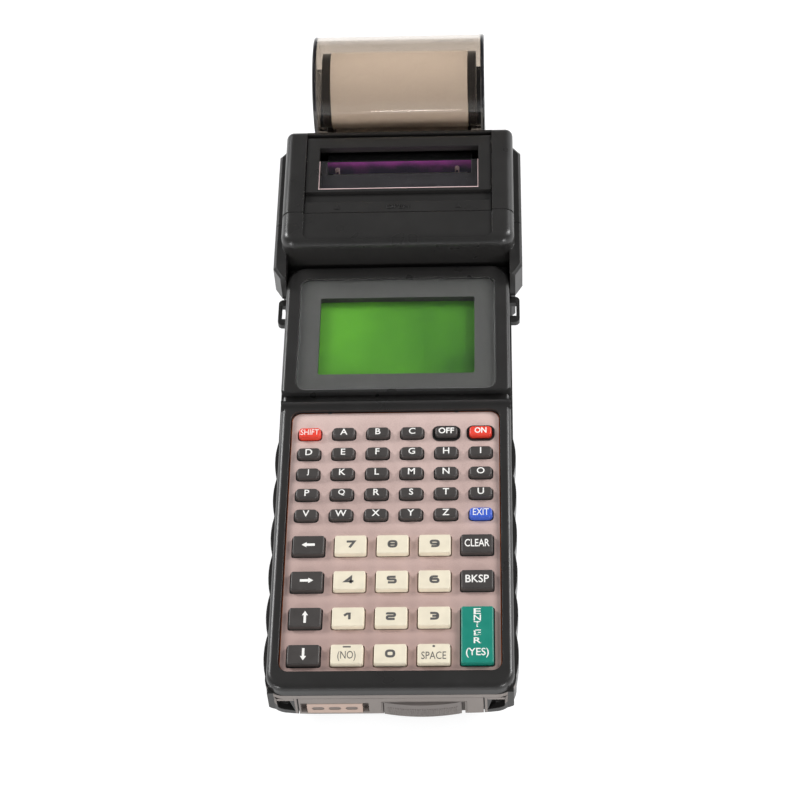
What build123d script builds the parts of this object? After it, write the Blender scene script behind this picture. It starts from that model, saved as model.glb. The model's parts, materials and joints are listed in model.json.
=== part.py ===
from build123d import *
import os
from math import acos, cos, pi, radians, sin, sqrt, tan

# Portable barcode data terminal: a hand-held keypad and display unit with a
# ribbon printer and a covered paper roll behind it.
# Millimetres. +X to the right of the keys, +Y from the battery end towards the
# paper roll, +Z up out of the key tops. The origin is on the table, under the
# middle of the whole length.

# ---------------------------------------------------------------- sizes
# Lengths along Y
handset_length = 198.2        # rim at the battery end to the front wall of the printer
printer_length = 63.0         # front wall to rear wall of the printer
head_length = 16.6            # fixed front part of the printer, up to the seam
latch_bulge = 1.2             # how far the battery latch stands out of the end face

# Widths across X
rim_width = 91.0              # upper case across its rim
grip_width = 92.4             # lower case between its finger pads
pad_bulge = 1.0               # how far each finger pad stands out
pad_pitch = 17.7
pad_count = 6
pad_y = 17.0                  # end face to the middle of the first pad
base_lap = 9.5                # the tray under the printer starts this far before its front wall
base_width = 96.0             # lower case under the printer
printer_width = 95.6          # printer block
wing_width = 102.0            # shoulders of the printer
wing_least = 1.0              # they stand out of the printer block by no less
wing_lead = 11.0              # they start this far before the printer's front wall
wing_step = 3.0               # front face of a shoulder, slanted back over its cut
wing_front_cut = 5.0
wing_tail = 3.0               # they end this far before the printer's rear wall
wing_rear_cut = 4.5
wing_edge = 1.0
wall = 2.0                    # moulded walls

# Heights above the table
foot_height = 1.5
belly_z = 2.5                 # lowest line of the belly
belly_radius = 175.0          # arc of the belly across the handset
parting_z = 19.5              # lower and upper shells meet here
rim_z = 24.6                  # top of the rim round the keys
deck_z = 29.0                 # top of the display deck
wing_z = 33.5                 # top of the shoulders
printer_z = 42.0              # top of the printer block
channel_depth = 0.8           # sunk middle of the printer's top

# Roundings
end_corner = 7.0              # case corners at the battery end, in plan
belly_corner = 7.0            # belly into side
belly_end_round = 4.5         # belly into end face
rim_round = 2.2
deck_corner = 8.0
deck_round = 1.8
block_round = 4.0             # front edges of the printer block
rear_round = 3.5              # side and rear edges of the printer block
block_corner = 6.0            # front corners of the printer block, in plan
rear_corner = 3.0             # rear corners of the printer block, in plan
base_corner = 3.0             # rear corners of the lower case, in plan
base_round = 2.0              # lower edges of the case under the printer

# Clearances
gap = 0.3                     # between neighbours that move or are slid in
seat_play = 0.2               # round a plate or lens in its seat
pin_play = 0.05               # shaft in its hole, on the radius
slot_play = 0.1               # round a piece that is pressed into a slot
bay_play = 0.4                # round the battery in its bay

# Keypad
plate_width = 82.0
plate_length = 118.2
plate_corner = 4.0
plate_thick = 1.2
plate_y = 7.4                 # end of the rim to the end of the plate
plate_drop = 1.6              # rim top down to the plate
plate_ledge = 1.0             # what carries the plate all round
digit_pitch_x = 16.0
digit_pitch_y = 16.0
digit_width = 12.3
digit_length = 8.7
digit_corner = 1.0
digit_edge = 0.5
digit_margin = 6.8            # plate end to the middle of the last digit row
letter_pitch_x = 13.4
letter_pitch_y = 9.63
letter_width = 9.0
letter_length = 5.0
letter_corner = 1.6
letter_edge = 0.7
letter_offset = 14.1          # first digit row to the last letter row
key_height = 2.0              # keys stand this far out of the plate
key_travel = 1.1
key_draft = 4.0               # degrees
key_slot = 0.35               # key to the edge of its hole
key_flange = 0.5              # flange under the plate, beyond the hole
flange_thick = 0.8
mat_thick = 1.0
pill_size = 3.0               # rubber pill under each key
board_thick = 1.6
board_width = 70.8
board_y = 7.0                 # end face to the board
board_reach = 20.0            # how far the board runs past the middle of the lens
chips = [(-20.0, 14.0), (2.0, 10.0), (20.0, 12.0)]    # X and size of the chips under the display
chip_shift = 4.0              # chips nearer the battery end than the middle of the lens
chip_height = 1.4
mat_inset = 4.0               # rubber mat inside the ends of the plate
mat_corner = 2.0

# Display
lens_width = 79.0
lens_length = 56.8
lens_corner = 4.0
lens_thick = 1.5
lens_inset = 0.3              # below the deck
lens_glue = 0.2               # adhesive under the lens
ledge_run = 0.8               # plate end to the foot of the deck
ledge_curve = 5.0             # run of the deck's soft front
lens_y = 6.5                  # foot of the deck to the lens
view_depth = 2.6              # lens to the liquid crystal panel
view_width = 68.0
view_length = 44.0
panel_width = 74.0
panel_length = 50.0
panel_thick = 4.0
panel_lip = 0.5               # the panel's frame over the edge of the glass
glass_step = 0.6              # glass below the frame
lens_edge = 0.3
view_shift = -0.6             # middle of the view, from the middle of the lens

# Battery
pack_width = 64.0
pack_length = 74.0
pack_top = 15.4
cap_width = 68.0
cap_thick = 3.0
cap_top = 16.9
pack_corner = 1.5
pocket_inset = 1.2            # moulded pockets beside the cap: cap to pocket
pocket_lean = 1.6             # slant of the pocket's inner wall
pocket_width = 6.6
pocket_depth = 3.0
pocket_drop = 1.4             # below the top of the cap
pocket_low = 2.2              # above the belly, at the inner wall
pocket_high = 4.0             # above the belly, at the outer wall
corner_depth = 6.0            # solid corners of the case behind the pockets
latch_width = 28.6
latch_x = 11.6
latch_z0 = 4.6
latch_z1 = 13.6
latch_travel = 1.0
latch_seat = 1.8              # depth of the latch's seat in the cap
latch_back = 1.5              # thickness of the latch inside the seat
latch_lap = 0.2               # the latch's ends lie this far behind the face
latch_round = 0.8
strip_x0 = -31.0
strip_x1 = -10.5
strip_z0 = 6.9
strip_z1 = 13.2
strip_thick = 1.4
strip_slot = 2.3
contact_width = 4.4
contact_height = 2.0
contact_pitch = 6.2
strip_proud = 0.15            # the strip stands this far out of the cap
contact_drop = 0.75           # contacts behind the face of the cap
contact_thick = 0.8
guide_depth = 2.4             # slots at the ends of the strip
guide_rise = 0.4

# Strap eyes
eye_length = 13.2
eye_reach = 4.2               # out of the rim
eye_bar = 1.4
eye_end = 3.2                 # solid ends of the eye, before its slot
eye_root = 4.0                # hidden length that its round corners run into
eye_corner = 2.0
eye_side = 0.5                # room beside the eye in its hollow
eye_thick = 2.4
eye_y = 181.3                 # rim end to the middle of the eye
eye_z = 16.6
eye_relief = 2.0              # hollow in the side wall behind the eye

# Ribbon door
channel_width = 77.8
door_play = 0.3
door_thick = 3.0
door_strip = 5.8              # marked strip behind the seam
door_groove = 5.8             # finger groove behind the strip
groove_depth = 1.6
recess_inset = 2.4            # front wall to the sunk middle of the top
recess_corner = 3.0
door_rest = 2.2               # rests under the door's front corners
rest_length = 4.0
lap_depth = 1.6               # rib under the door's front edge
lap_y = 2.0
cheek_thick = 3.0             # side walls that hold the door's pins
cheek_half = 3.5
channel_floor = 3.0           # open depth of the channel under the door
channel_tail = 2.5            # the channel ends this far before the rear wall
window_width = 66.8
window_y = 13.0               # seam to the window
window_length = 23.4
pane_length = 16.4
pane_thick = 1.2
pane_ledge = 1.0
pane_play = 0.15
exit_gap = 0.3                # end of the pane to the paper slot in the door
door_hinge_radius = 2.7
door_pin = 1.0
door_pin_length = 9.6

# Paper housing
cover_radius = 23.0
cover_width = 72.4
cover_wall = 1.6
trough_wall = 1.8
axle_z = 41.0                 # middle of the paper roll above the table
cover_split_z = 33.0          # cover above, cradle below
hinge_offset = 1.8            # cover hinge behind the cylinder
knuckle_radius = 2.2
knuckle_length = 5.4
knuckle_x = 20.0              # start of the cover's knuckle, from the middle
knuckle_web = 6.0             # how far the knuckles' webs run along the wall
knuckle_foot = 2.0
knuckle_lap = 0.4
cover_round = 1.0
catch_x = 30.5                # catches that lap over the printer's rear edge
catch_width = 4.0
catch_lap = 1.6
trough_corner = 2.0
cover_pin = 1.0
roll_radius = 16.2
roll_width = 58.0
core_radius = 6.2
axle_radius = 3.0
arm_thick = 3.3
arm_foot = 11.0               # half the length of an arm's foot
arm_lift = 1.5
core_wall = 1.2
core_mouth = 3.0
arm_radius = 16.0

# Printing mechanism
feed_radius = 4.5
feed_y = 8.4                  # rear wall of the printer to the feed roller
feed_z = 28.5
shaft_radius = 1.5
paper_thick = 0.3
paper_gap = 0.35              # paper to the feed roller
paper_width = 57.0
ribbon_height = 7.6
ribbon_thick = 0.4
ribbon_z = 29.4
ribbon_width = 59.0
ribbon_lap = 0.75             # ribbon held in each cassette arm
ribbon_gap = 0.8              # paper to ribbon
cassette_width = 76.0
cassette_length = 18.0
cassette_z0 = 31.5
cassette_z1 = 37.0
cassette_play = 1.6           # cassette to each side of the chassis
cassette_gap = 7.0            # ribbon to the cassette's body
cassette_corner = 3.0
cassette_edge = 0.4
arm_inset = 0.8               # ribbon's end to the cassette's arm
arm_root = 6.0
arm_tip = 1.2                 # the arms reach this far past the ribbon
frame_width = 78.0
frame_plate = 1.5
frame_length = 46.0
frame_top = 30.4
frame_lap = 6.0               # side plates in front of the first rod
frame_low = 5.0               # low part of the side plates, behind the last rod
frame_start = 14.0            # front of the chassis to the first rod
frame_tail = 4.5              # chassis to the printer's rear wall
bridge_height = 8.0
pillar_x0 = 3.0               # pillars under the cassette, from the chassis's side
pillar_x1 = 8.0
rod_radius = 1.5
rod_z = 24.0
rod_pitch = 9.0
head_width = 12.0
head_park = -22.0
head_lap = 4.0                # carriage beyond the rods, in front and behind
head_drop = 4.0               # below the rods
head_rise = 4.2               # above the rods
snout_half = 3.5              # the head's nose that reaches for the ribbon
snout_drop = 1.0
snout_rise = 5.2
snout_gap = 0.8               # nose to ribbon
snout_edge = 1.5
stub_radius = 1.0             # gear axles in the chassis
stub_reach = 0.2
shaft_reach = 0.3
drum_lap = 2.0                # roller past the paper on each side
gear_gap = 0.5                # chassis to the gears
gear_module = 0.5
gear_width = 3.0
feed_teeth = 18
idler_teeth = 20
pinion_teeth = 10
mesh_slack = 0.12             # added to each pair's centre distance
motor_radius = 5.0
motor_length = 22.0
motor_gap = 0.3               # motor to the chassis's side
saddle_half = 3.0
saddle_inset = 2.0
train_lean = 18.0             # degrees from the vertical, idler to pinion
pressure_angle = 20.0
tooth_tip = 0.9               # times the module
tooth_root = 1.15
tooth_play = 0.08

# Fasteners and feet
screw_radius = 1.2
screw_head_radius = 2.4
screw_head = 1.6
screw_sink = 2.2              # head below the surface of the case
boss_radius = 3.3
thread_play = 0.05
thread_end = 0.4              # solid end above a screw's hole
lug_half = 3.0
lug_inset = 3.0               # inner side of a lug to the screw's middle
lug_hole = 3.5
head_play = 0.2
slot_half = 1.8               # slot across a screw's head
slot_width = 0.3
slot_depth = 0.7
foot_radius = 5.0
foot_edge = 0.5
foot_pad = 0.8                # foot pads are this much wider than the feet
screw_x = 39.5                # screws of the handset, from the middle
screw_end = 5.8               # end face to the first of them
screw_plate = 4.0             # key plate to the second
screw_front = 6.5             # third to the printer's front wall
base_screw_x = 43.0           # screws under the printer
base_screw_y = 8.0            # behind its front wall
rear_screw_y = 26.0           # before its rear wall
foot_x = 24.0
foot_y = 22.0                 # end face to the front feet
rear_foot_x = 36.0
rear_foot_y = 14.0            # rear feet to the printer's rear wall

# ---------------------------------------------------------------- places
cover_reach = gap + 2 * cover_radius + hinge_offset + knuckle_radius
overall_length = latch_bulge + handset_length + printer_length + cover_reach
end_y = -overall_length / 2 + latch_bulge          # end face of the case
front_y = end_y + handset_length                   # front wall of the printer
seam_y = front_y + head_length
rear_y = front_y + printer_length                  # rear wall of the printer
axle_y = rear_y + gap + cover_radius
hinge_y = axle_y + cover_radius + hinge_offset     # cover hinge

plate_y0 = end_y + plate_y
plate_y1 = plate_y0 + plate_length
plate_mid = (plate_y0 + plate_y1) / 2
plate_z = rim_z - plate_drop                       # top of the key plate
plate_seat = plate_z - plate_thick
key_top = plate_z + key_height
flange_top = plate_seat - gap
flange_bottom = flange_top - flange_thick
mat_top = flange_bottom - key_travel - gap
board_z = pack_top + 2 * gap
board_top = board_z + board_thick
digit_row_y = plate_y0 + digit_margin              # the row nearest the battery end
letter_row_y = digit_row_y + 3 * digit_pitch_y + letter_offset

deck_y = plate_y1 + ledge_run
lens_y0 = deck_y + lens_y
lens_mid = lens_y0 + lens_length / 2
view_mid = lens_mid + view_shift
lens_seat = deck_z - lens_inset - lens_thick - lens_glue
view_z = lens_seat - view_depth                    # top of the liquid crystal panel
deck_end = front_y - 2.0

channel_z = printer_z - channel_depth
door_z = channel_z - door_thick
door_hinge_y = rear_y - 5.5
door_hinge_z = channel_z - door_hinge_radius
window_y0 = seam_y + window_y
window_y1 = window_y0 + window_length
door_width = channel_width - 2 * door_play
wing_half = max(wing_width / 2, printer_width / 2 + wing_least)

feed_mid_y = rear_y - feed_y
paper_y = feed_mid_y - feed_radius - paper_gap - paper_thick
ribbon_y = paper_y - ribbon_gap - ribbon_thick
frame_y1 = rear_y - frame_tail
frame_y0 = frame_y1 - frame_length
frame_base_z = belly_z + wall
rod_y = frame_y0 + frame_start
web_z = feed_z - feed_radius - paper_gap - paper_thick     # paper under the feed roller
paper_slot_z0 = web_z - 1.2
paper_slot_z1 = web_z + 3.2
paper_slot_half = paper_width / 2 + 1.5
cap_y0 = end_y
pack_y0 = end_y + cap_thick

# rows of keys from the battery end towards the display
digit_rows = [
    ["down", "no", "0", "space", None],
    ["up", "1", "2", "3", "enter"],
    ["right", "4", "5", "6", "bksp"],
    ["left", "7", "8", "9", "clear"],
]
letter_rows = [
    ["v", "w", "x", "y", "z", "exit"],
    ["p", "q", "r", "s", "t", "u"],
    ["j", "k", "l", "m", "n", "o"],
    ["d", "e", "f", "g", "h", "i"],
    ["shift", "a", "b", "c", "off", "on"],
]
lone_keys = ["shift", "off", "on", "exit"]
row_nodes = ["keys_v_to_z", "keys_p_to_u", "keys_j_to_o", "keys_d_to_i", "keys_a_to_c"]


# ---------------------------------------------------------------- helpers
def block(x0, x1, y0, y1, z0, z1):
    """A box given by its six faces."""
    middle = Pos((x0 + x1) / 2, (y0 + y1) / 2, (z0 + z1) / 2)
    return middle * Box(x1 - x0, y1 - y0, z1 - z0)


def slab(width, length, corner, x, y, z0, z1):
    """A flat plate with rounded corners, centred on x, y."""
    return Pos(x, y, z0) * extrude(RectangleRounded(width, length, corner), amount=z1 - z0)


def rod(radius, x0, x1, y, z):
    """A round bar along X."""
    return Pos((x0 + x1) / 2, y, z) * Rot(0, 90, 0) * Cylinder(radius, x1 - x0)


def post(radius, x, y, z0, z1):
    """A round bar along Z."""
    return Pos(x, y, (z0 + z1) / 2) * Cylinder(radius, z1 - z0)


def along_y(sketch, y0, y1):
    """A section drawn in X and Z, run from y0 to y1."""
    return extrude(Pos(0, y1, 0) * (Plane.XZ * sketch), amount=y1 - y0)


def along_x(points, x0, x1):
    """A section given by its corners in Y and Z, run from x0 to x1."""
    face = make_face(Polyline(*points, close=True))
    return extrude(Pos(x0, 0, 0) * (Plane.YZ * face), amount=x1 - x0)


def mirrored(shape):
    """The same shape on the left and the right."""
    return shape + mirror(shape, about=Plane.YZ)


def pair(shape):
    """Two separate pieces, right and left."""
    return [shape, mirror(shape, about=Plane.YZ)]


def belly_height(x, inset=0.0):
    """Height of the belly arc at x, for a surface inset from the outside."""
    return belly_z + belly_radius - sqrt((belly_radius - inset) ** 2 - x ** 2)


def belly_section(half_width, inset, top, corner):
    """Section of the handset: flat top, straight sides and the belly's wide arc."""
    side = belly_height(half_width, inset)
    arc = ThreePointArc((-half_width, side), (0, belly_z + inset), (half_width, side))
    sides = Polyline((half_width, side), (half_width, top), (-half_width, top), (-half_width, side))
    face = make_face(arc + sides)
    if corner > 0:
        face = fillet(face.vertices().sort_by(Axis.Y)[:2], corner)
    return face


def rounded_end(y0, y1):
    """A block whose near lower edge is rounded, to trim the battery end of the belly."""
    body = block(-wing_width, wing_width, y0, y1, belly_z, parting_z)
    near = body.edges().filter_by(Axis.X).sort_by(Axis.Y)[:2].sort_by(Axis.Z)[0]
    return fillet(near, belly_end_round)


def edges_at(shape, axis, place, tolerance=0.01):
    """The edges whose whole length lies at one place along an axis."""
    return shape.edges().filter_by_position(axis, place - tolerance, place + tolerance)


nodes = {}


def keep(name, *shapes):
    """File a node's pieces under its name."""
    solids = []
    for shape in shapes:
        solids.extend(shape.solids())
    nodes[name] = solids


# ---------------------------------------------------------------- screws and feet
handset_screws = [
    (screw_x, end_y + screw_end),
    (screw_x, plate_y1 + screw_plate),
    (screw_x, front_y - screw_front),
]
printer_screws = [
    (base_screw_x, front_y + base_screw_y),
    (base_screw_x, rear_y - rear_screw_y),
]
feet = [
    (foot_x, end_y + foot_y),
    (rear_foot_x, rear_y - rear_foot_y),
]


def case_floor(x, y):
    """Height of the underside of the lower case."""
    if y > front_y:
        return belly_z
    return belly_height(x)


# ---------------------------------------------------------------- lower case
def finger_pad(y):
    """Plan of one rounded finger pad on the right-hand side."""
    half = grip_width / 2
    reach = pad_pitch / 2
    arc = ThreePointArc((half, y - reach), (half + pad_bulge, y), (half, y + reach))
    back = Polyline((half, y + reach), (half - wall, y), (half, y - reach))
    return make_face(arc + back)


def lower_case():
    """Bottom shell: belly, finger pads, battery bay and the tray under the printer."""
    half = grip_width / 2
    base_half = base_width / 2
    base_y0 = front_y - base_lap

    plan = Pos(0, (end_y + front_y) / 2) * Rectangle(grip_width, front_y - end_y)
    plan = fillet(plan.vertices().sort_by(Axis.Y)[:2], end_corner)
    for index in range(pad_count):
        pad = finger_pad(end_y + pad_y + index * pad_pitch)
        plan = plan + pad + mirror(pad, about=Plane.YZ)
    section = belly_section(half + pad_bulge, 0, parting_z, belly_corner)
    handset = along_y(section, end_y, front_y) & extrude(plan, amount=parting_z)
    handset = handset & rounded_end(end_y, front_y)

    base = block(-base_half, base_half, base_y0, rear_y, belly_z, parting_z)
    base = chamfer(edges_at(base, Axis.Y, base_y0).filter_by(Axis.Z), 1.6)
    base = fillet(edges_at(base, Axis.Y, rear_y).filter_by(Axis.Z), base_corner)
    base = fillet(edges_at(base, Axis.Z, belly_z), base_round)

    inner = belly_section(half - wall, wall, parting_z + 1, belly_corner - wall)
    hollow = along_y(inner, end_y + wall, front_y)
    tray = block(-base_half + wall, base_half - wall, base_y0 + wall, rear_y - wall,
                 belly_z + wall, parting_z + 1)
    shell = handset + base - hollow - tray

    # battery bay: two walls that carry the main board, and a stop at the far end
    bay_half = pack_width / 2 + bay_play
    bay_y0 = end_y + cap_thick + gap
    bay_y1 = end_y + cap_thick + pack_length + 2 * gap
    bay = mirrored(block(bay_half, bay_half + wall, bay_y0, lens_mid, 0, board_z))
    bay = bay + block(-bay_half, bay_half, bay_y1, bay_y1 + wall, 0, board_z)
    above_floor = along_y(belly_section(half - wall, wall / 2, board_z, 0), bay_y0, lens_mid)
    shell = shell + (bay & above_floor)

    # corner blocks with the moulded pockets beside the battery cap
    cap_half = cap_width / 2 + gap
    corner = block(cap_half, half - wall / 2, end_y + wall / 2, end_y + corner_depth, 0, parting_z)
    corner = corner & along_y(section, end_y, front_y)
    shell = shell + mirrored(corner)
    mouth = block(-cap_half, cap_half, end_y - 1, end_y + cap_thick + gap, 0, cap_top + gap)
    shell = shell - mouth
    pocket_x0 = cap_half + pocket_inset
    pocket_x1 = pocket_x0 + pocket_width
    pocket_top = cap_top - pocket_drop
    pocket_face = make_face(Polyline(
        (pocket_x0, belly_height(pocket_x0) + pocket_low),
        (pocket_x0 + pocket_lean, pocket_top),
        (pocket_x1, pocket_top),
        (pocket_x1 - pocket_lean / 4, belly_height(pocket_x0) + pocket_high),
        close=True))
    shell = shell - mirrored(along_y(pocket_face, end_y - 1, end_y + pocket_depth))

    # screw bosses, foot pads and the holes for the screws
    for x, y in handset_screws + printer_screws:
        floor = case_floor(x, y)
        shell = shell + mirrored(post(boss_radius, x, y, floor + 0.5, parting_z))
    for x, y in feet:
        floor = case_floor(x, y)
        shell = shell + mirrored(post(foot_radius + foot_pad, x, y, foot_height, floor + wall / 4))
    for x, y in handset_screws + printer_screws:
        floor = case_floor(x, y)
        drill = post(screw_head_radius + head_play, x, y, -1, floor + screw_sink + screw_head)
        drill = drill + post(screw_radius + 2 * thread_play, x, y, 0, parting_z + 1)
        shell = shell - mirrored(drill)

    # hollows behind the strap eyes, with the slots that hold their ends
    eye_mid = end_y + eye_y
    eye_half = eye_length / 2 + eye_side
    eye_x0 = rim_width / 2 - eye_relief
    relief = block(eye_x0, half + 5, eye_mid - eye_half, eye_mid + eye_half, 0, parting_z + 1)
    backing = block(eye_x0 - wall, eye_x0, eye_mid - eye_half - wall, eye_mid + eye_half + wall,
                    belly_height(half) + wall, parting_z)
    shell = shell + mirrored(backing) - mirrored(relief)
    keep("lower_case", shell)


def case_screws():
    """Screws with countersunk-in heads, up through the lower case."""
    screws = []
    for x, y in handset_screws + printer_screws:
        seat = case_floor(x, y) + screw_sink
        top = plate_seat - 0.5
        screw = post(screw_head_radius, x, y, seat, seat + screw_head)
        screw = screw + post(screw_radius, x, y, seat, top)
        slot = block(x - slot_half, x + slot_half, y - slot_width, y + slot_width, seat - 1, seat + slot_depth)
        screw = screw - slot
        screws.extend(pair(screw))
    keep("case_screws", *screws)


def rubber_feet():
    """Four round feet under the foot pads."""
    discs = []
    for x, y in feet:
        disc = post(foot_radius, x, y, 0, foot_height)
        disc = chamfer(edges_at(disc, Axis.Z, 0), foot_edge)
        discs.extend(pair(disc))
    keep("rubber_feet", *discs)


# ---------------------------------------------------------------- upper case
def upper_case():
    """Top shell: the rim round the keys and the raised deck round the display."""
    half = rim_width / 2
    plan = Pos(0, (end_y + front_y) / 2) * Rectangle(rim_width, front_y - end_y)
    plan = fillet(plan.vertices().sort_by(Axis.Y)[:2], end_corner)
    base = Pos(0, 0, parting_z) * extrude(plan, amount=rim_z - parting_z)
    base = fillet(edges_at(base, Axis.Z, rim_z).sort_by(Axis.Y)[:-1], rim_round)

    # the deck rises from the keypad in a soft S
    rise = (deck_z - rim_z) / 2
    start = (deck_y, rim_z)
    middle = (deck_y + ledge_curve / 2, rim_z + rise)
    top = (deck_y + ledge_curve, deck_z)
    curve = TangentArc(start, middle, tangent=(1, 0))
    curve = curve + TangentArc(middle, top, tangent=(1, 0), tangent_from_first=False)
    rest = Polyline(top, (deck_end, deck_z), (deck_end, parting_z), (deck_y, parting_z), start)
    deck = extrude(Pos(-half, 0, 0) * (Plane.YZ * make_face(curve + rest)), amount=rim_width)
    rear_corners = edges_at(deck, Axis.Y, deck_end).filter_by(Axis.Z)
    deck = fillet(rear_corners, deck_corner)
    outline = edges_at(deck, Axis.Z, deck_z)
    outline = outline.filter_by_position(Axis.Y, deck_y + ledge_curve + 0.1, deck_end + 0.1)
    deck = fillet(outline, deck_round)
    shell = base + deck

    # seat and window for the key plate
    seat = slab(plate_width + 2 * seat_play, plate_length + 2 * seat_play, plate_corner,
                0, plate_mid, plate_seat, rim_z + 1)
    window = slab(plate_width - 2 * plate_ledge, plate_length - 2 * plate_ledge, digit_corner,
                  0, plate_mid, parting_z - 1, rim_z + 1)
    shell = shell - seat - window

    # seat for the lens, and the window over the liquid crystal panel
    lens_hole = slab(lens_width + 2 * seat_play, lens_length + 2 * seat_play, lens_corner,
                     0, lens_mid, lens_seat, deck_z + 1)
    view = block(-view_width / 2, view_width / 2, view_mid - view_length / 2, view_mid + view_length / 2,
                 parting_z, deck_z)
    under_y0 = min(deck_y + ledge_curve, view_mid - panel_length / 2 - gap)
    under_y1 = max(lens_y0 + lens_length + gap, view_mid + panel_length / 2 + gap)
    under = block(-half + wall, half - wall, under_y0, under_y1, parting_z - 1, view_z)
    shell = shell - lens_hole - view - under

    # bosses for the case screws hang from the underside of the deck
    for x, y in handset_screws:
        boss = block(x - lug_inset, half - wall / 2, y - lug_half, y + lug_half, parting_z, plate_seat - 0.1)
        shell = shell + mirrored(boss)
    for x, y in handset_screws:
        shell = shell - mirrored(post(screw_radius + thread_play, x, y, parting_z - 1, plate_seat - thread_end))
    keep("upper_case", shell)


# ---------------------------------------------------------------- keypad
def digit_place(row, column):
    """Middle of a large key."""
    return (column - 2) * digit_pitch_x, digit_row_y + row * digit_pitch_y


def letter_place(row, column):
    """Middle of a small key."""
    return (column - 2.5) * letter_pitch_x, letter_row_y + row * letter_pitch_y


def key(width, length, corner, edge):
    """One key: drafted cap with a rounded top edge, on a flange that stays under the plate."""
    stem = flange_thick / 2
    cap = extrude(RectangleRounded(width, length, corner), amount=key_top - plate_seat, taper=key_draft)
    cap = Pos(0, 0, plate_seat) * cap
    cap = fillet(cap.faces().sort_by(Axis.Z)[-1].edges(), edge)
    reach = 2 * (key_slot + key_flange)
    flange = block(-(width + reach) / 2, (width + reach) / 2, -(length + reach) / 2, (length + reach) / 2,
                   flange_bottom, flange_top)
    neck = slab(width, length, corner, 0, 0, flange_top - stem, plate_seat)
    return cap + neck + flange


enter_length = digit_length + digit_pitch_y


def keypad():
    """All keys, the plate that they come through and the rubber mat below them."""
    digit_key = key(digit_width, digit_length, digit_corner, digit_edge)
    enter_key = key(digit_width, enter_length, digit_corner, digit_edge)
    letter_key = key(letter_width, letter_length, letter_corner, letter_edge)
    plate = slab(plate_width, plate_length, plate_corner, 0, plate_mid, plate_seat, plate_z)
    digit_hole = slab(digit_width + 2 * key_slot, digit_length + 2 * key_slot, digit_corner,
                      0, 0, plate_seat - 1, plate_z + 1)
    enter_hole = slab(digit_width + 2 * key_slot, enter_length + 2 * key_slot, digit_corner,
                      0, 0, plate_seat - 1, plate_z + 1)
    letter_hole = slab(letter_width + 2 * key_slot, letter_length + 2 * key_slot, letter_corner,
                       0, 0, plate_seat - 1, plate_z + 1)
    holes = []
    pills = []
    for row, names in enumerate(digit_rows):
        for column, name in enumerate(names):
            if name is None:
                continue
            x, y = digit_place(row, column)
            if name == "enter":
                y = y - digit_pitch_y / 2
            place = Pos(x, y)
            keep("key_" + name, place * (enter_key if name == "enter" else digit_key))
            holes.append(place * (enter_hole if name == "enter" else digit_hole))
            pills.append((x, y))
    for row, names in enumerate(letter_rows):
        group = []
        for column, name in enumerate(names):
            x, y = letter_place(row, column)
            place = Pos(x, y)
            if name in lone_keys:
                keep("key_" + name, place * letter_key)
            else:
                group.append(place * letter_key)
            holes.append(place * letter_hole)
            pills.append((x, y))
        keep(row_nodes[row], *group)
    keep("keypad_plate", plate - holes)

    mat = slab(board_width, plate_length - 2 * mat_inset, mat_corner, 0, plate_mid,
               board_top, board_top + mat_thick)
    for x, y in pills:
        mat = mat + block(x - pill_size / 2, x + pill_size / 2, y - pill_size / 2, y + pill_size / 2,
                          board_top, mat_top)
    keep("key_mat", mat)


def main_board():
    """Circuit board on the walls of the battery bay, under keys and display."""
    y0 = end_y + board_y
    y1 = lens_mid + board_reach
    board = block(-board_width / 2, board_width / 2, y0, y1, board_z, board_top)
    chips_y = lens_mid - chip_shift
    for x, size in chips:
        board = board + block(x - size / 2, x + size / 2, chips_y - size / 2, chips_y + size / 2,
                              board_top, board_top + chip_height)
    keep("main_board", board)


# ---------------------------------------------------------------- display
def display():
    """Clear lens over the liquid crystal panel."""
    lens = slab(lens_width, lens_length, lens_corner, 0, lens_mid,
                lens_seat + lens_glue, deck_z - lens_inset)
    lens = chamfer(edges_at(lens, Axis.Z, deck_z - lens_inset), lens_edge)
    keep("display_lens", lens)
    y0 = view_mid - panel_length / 2
    panel = block(-panel_width / 2, panel_width / 2, y0, y0 + panel_length, view_z - panel_thick, view_z)
    glass = slab(view_width - 2 * panel_lip, view_length - 2 * panel_lip, panel_lip, 0, view_mid,
                 view_z - glass_step, view_z + 1)
    frame = panel - glass
    keep("lcd_panel", frame)


# ---------------------------------------------------------------- battery end
def battery_pack():
    """Slide-in battery: a body that follows the belly and a cap that closes the end."""
    section = belly_section(pack_width / 2, wall + bay_play, pack_top, pack_corner)
    body = along_y(section, pack_y0 - cap_thick / 6, pack_y0 + pack_length)
    half = cap_width / 2
    cap = along_y(belly_section(half, 0, cap_top, 0), cap_y0, cap_y0 + cap_thick)
    cap = cap & rounded_end(cap_y0, cap_y0 + 2 * cap_thick)
    pack = body + cap

    # seat of the latch, with room for it to slide
    latch_half = latch_width / 2
    seat = block(latch_x - latch_half - gap, latch_x + latch_half + gap + latch_travel,
                 cap_y0 - 1, cap_y0 + latch_seat, 0, latch_z1 + gap)
    pack = pack - seat
    # seat of the contact strip and the guide slots at its two ends
    strip = block(strip_x0 - slot_play, strip_x1 + slot_play, cap_y0 - 1, cap_y0 + strip_thick,
                  strip_z0 - slot_play, strip_z1 + slot_play)
    pack = pack - strip
    for x0 in (strip_x0 - strip_slot, strip_x1):
        pack = pack - block(x0, x0 + strip_slot, cap_y0 - 1, cap_y0 + guide_depth,
                            strip_z0 + guide_rise, strip_z1 + guide_rise)
    keep("battery_pack", pack)


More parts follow.
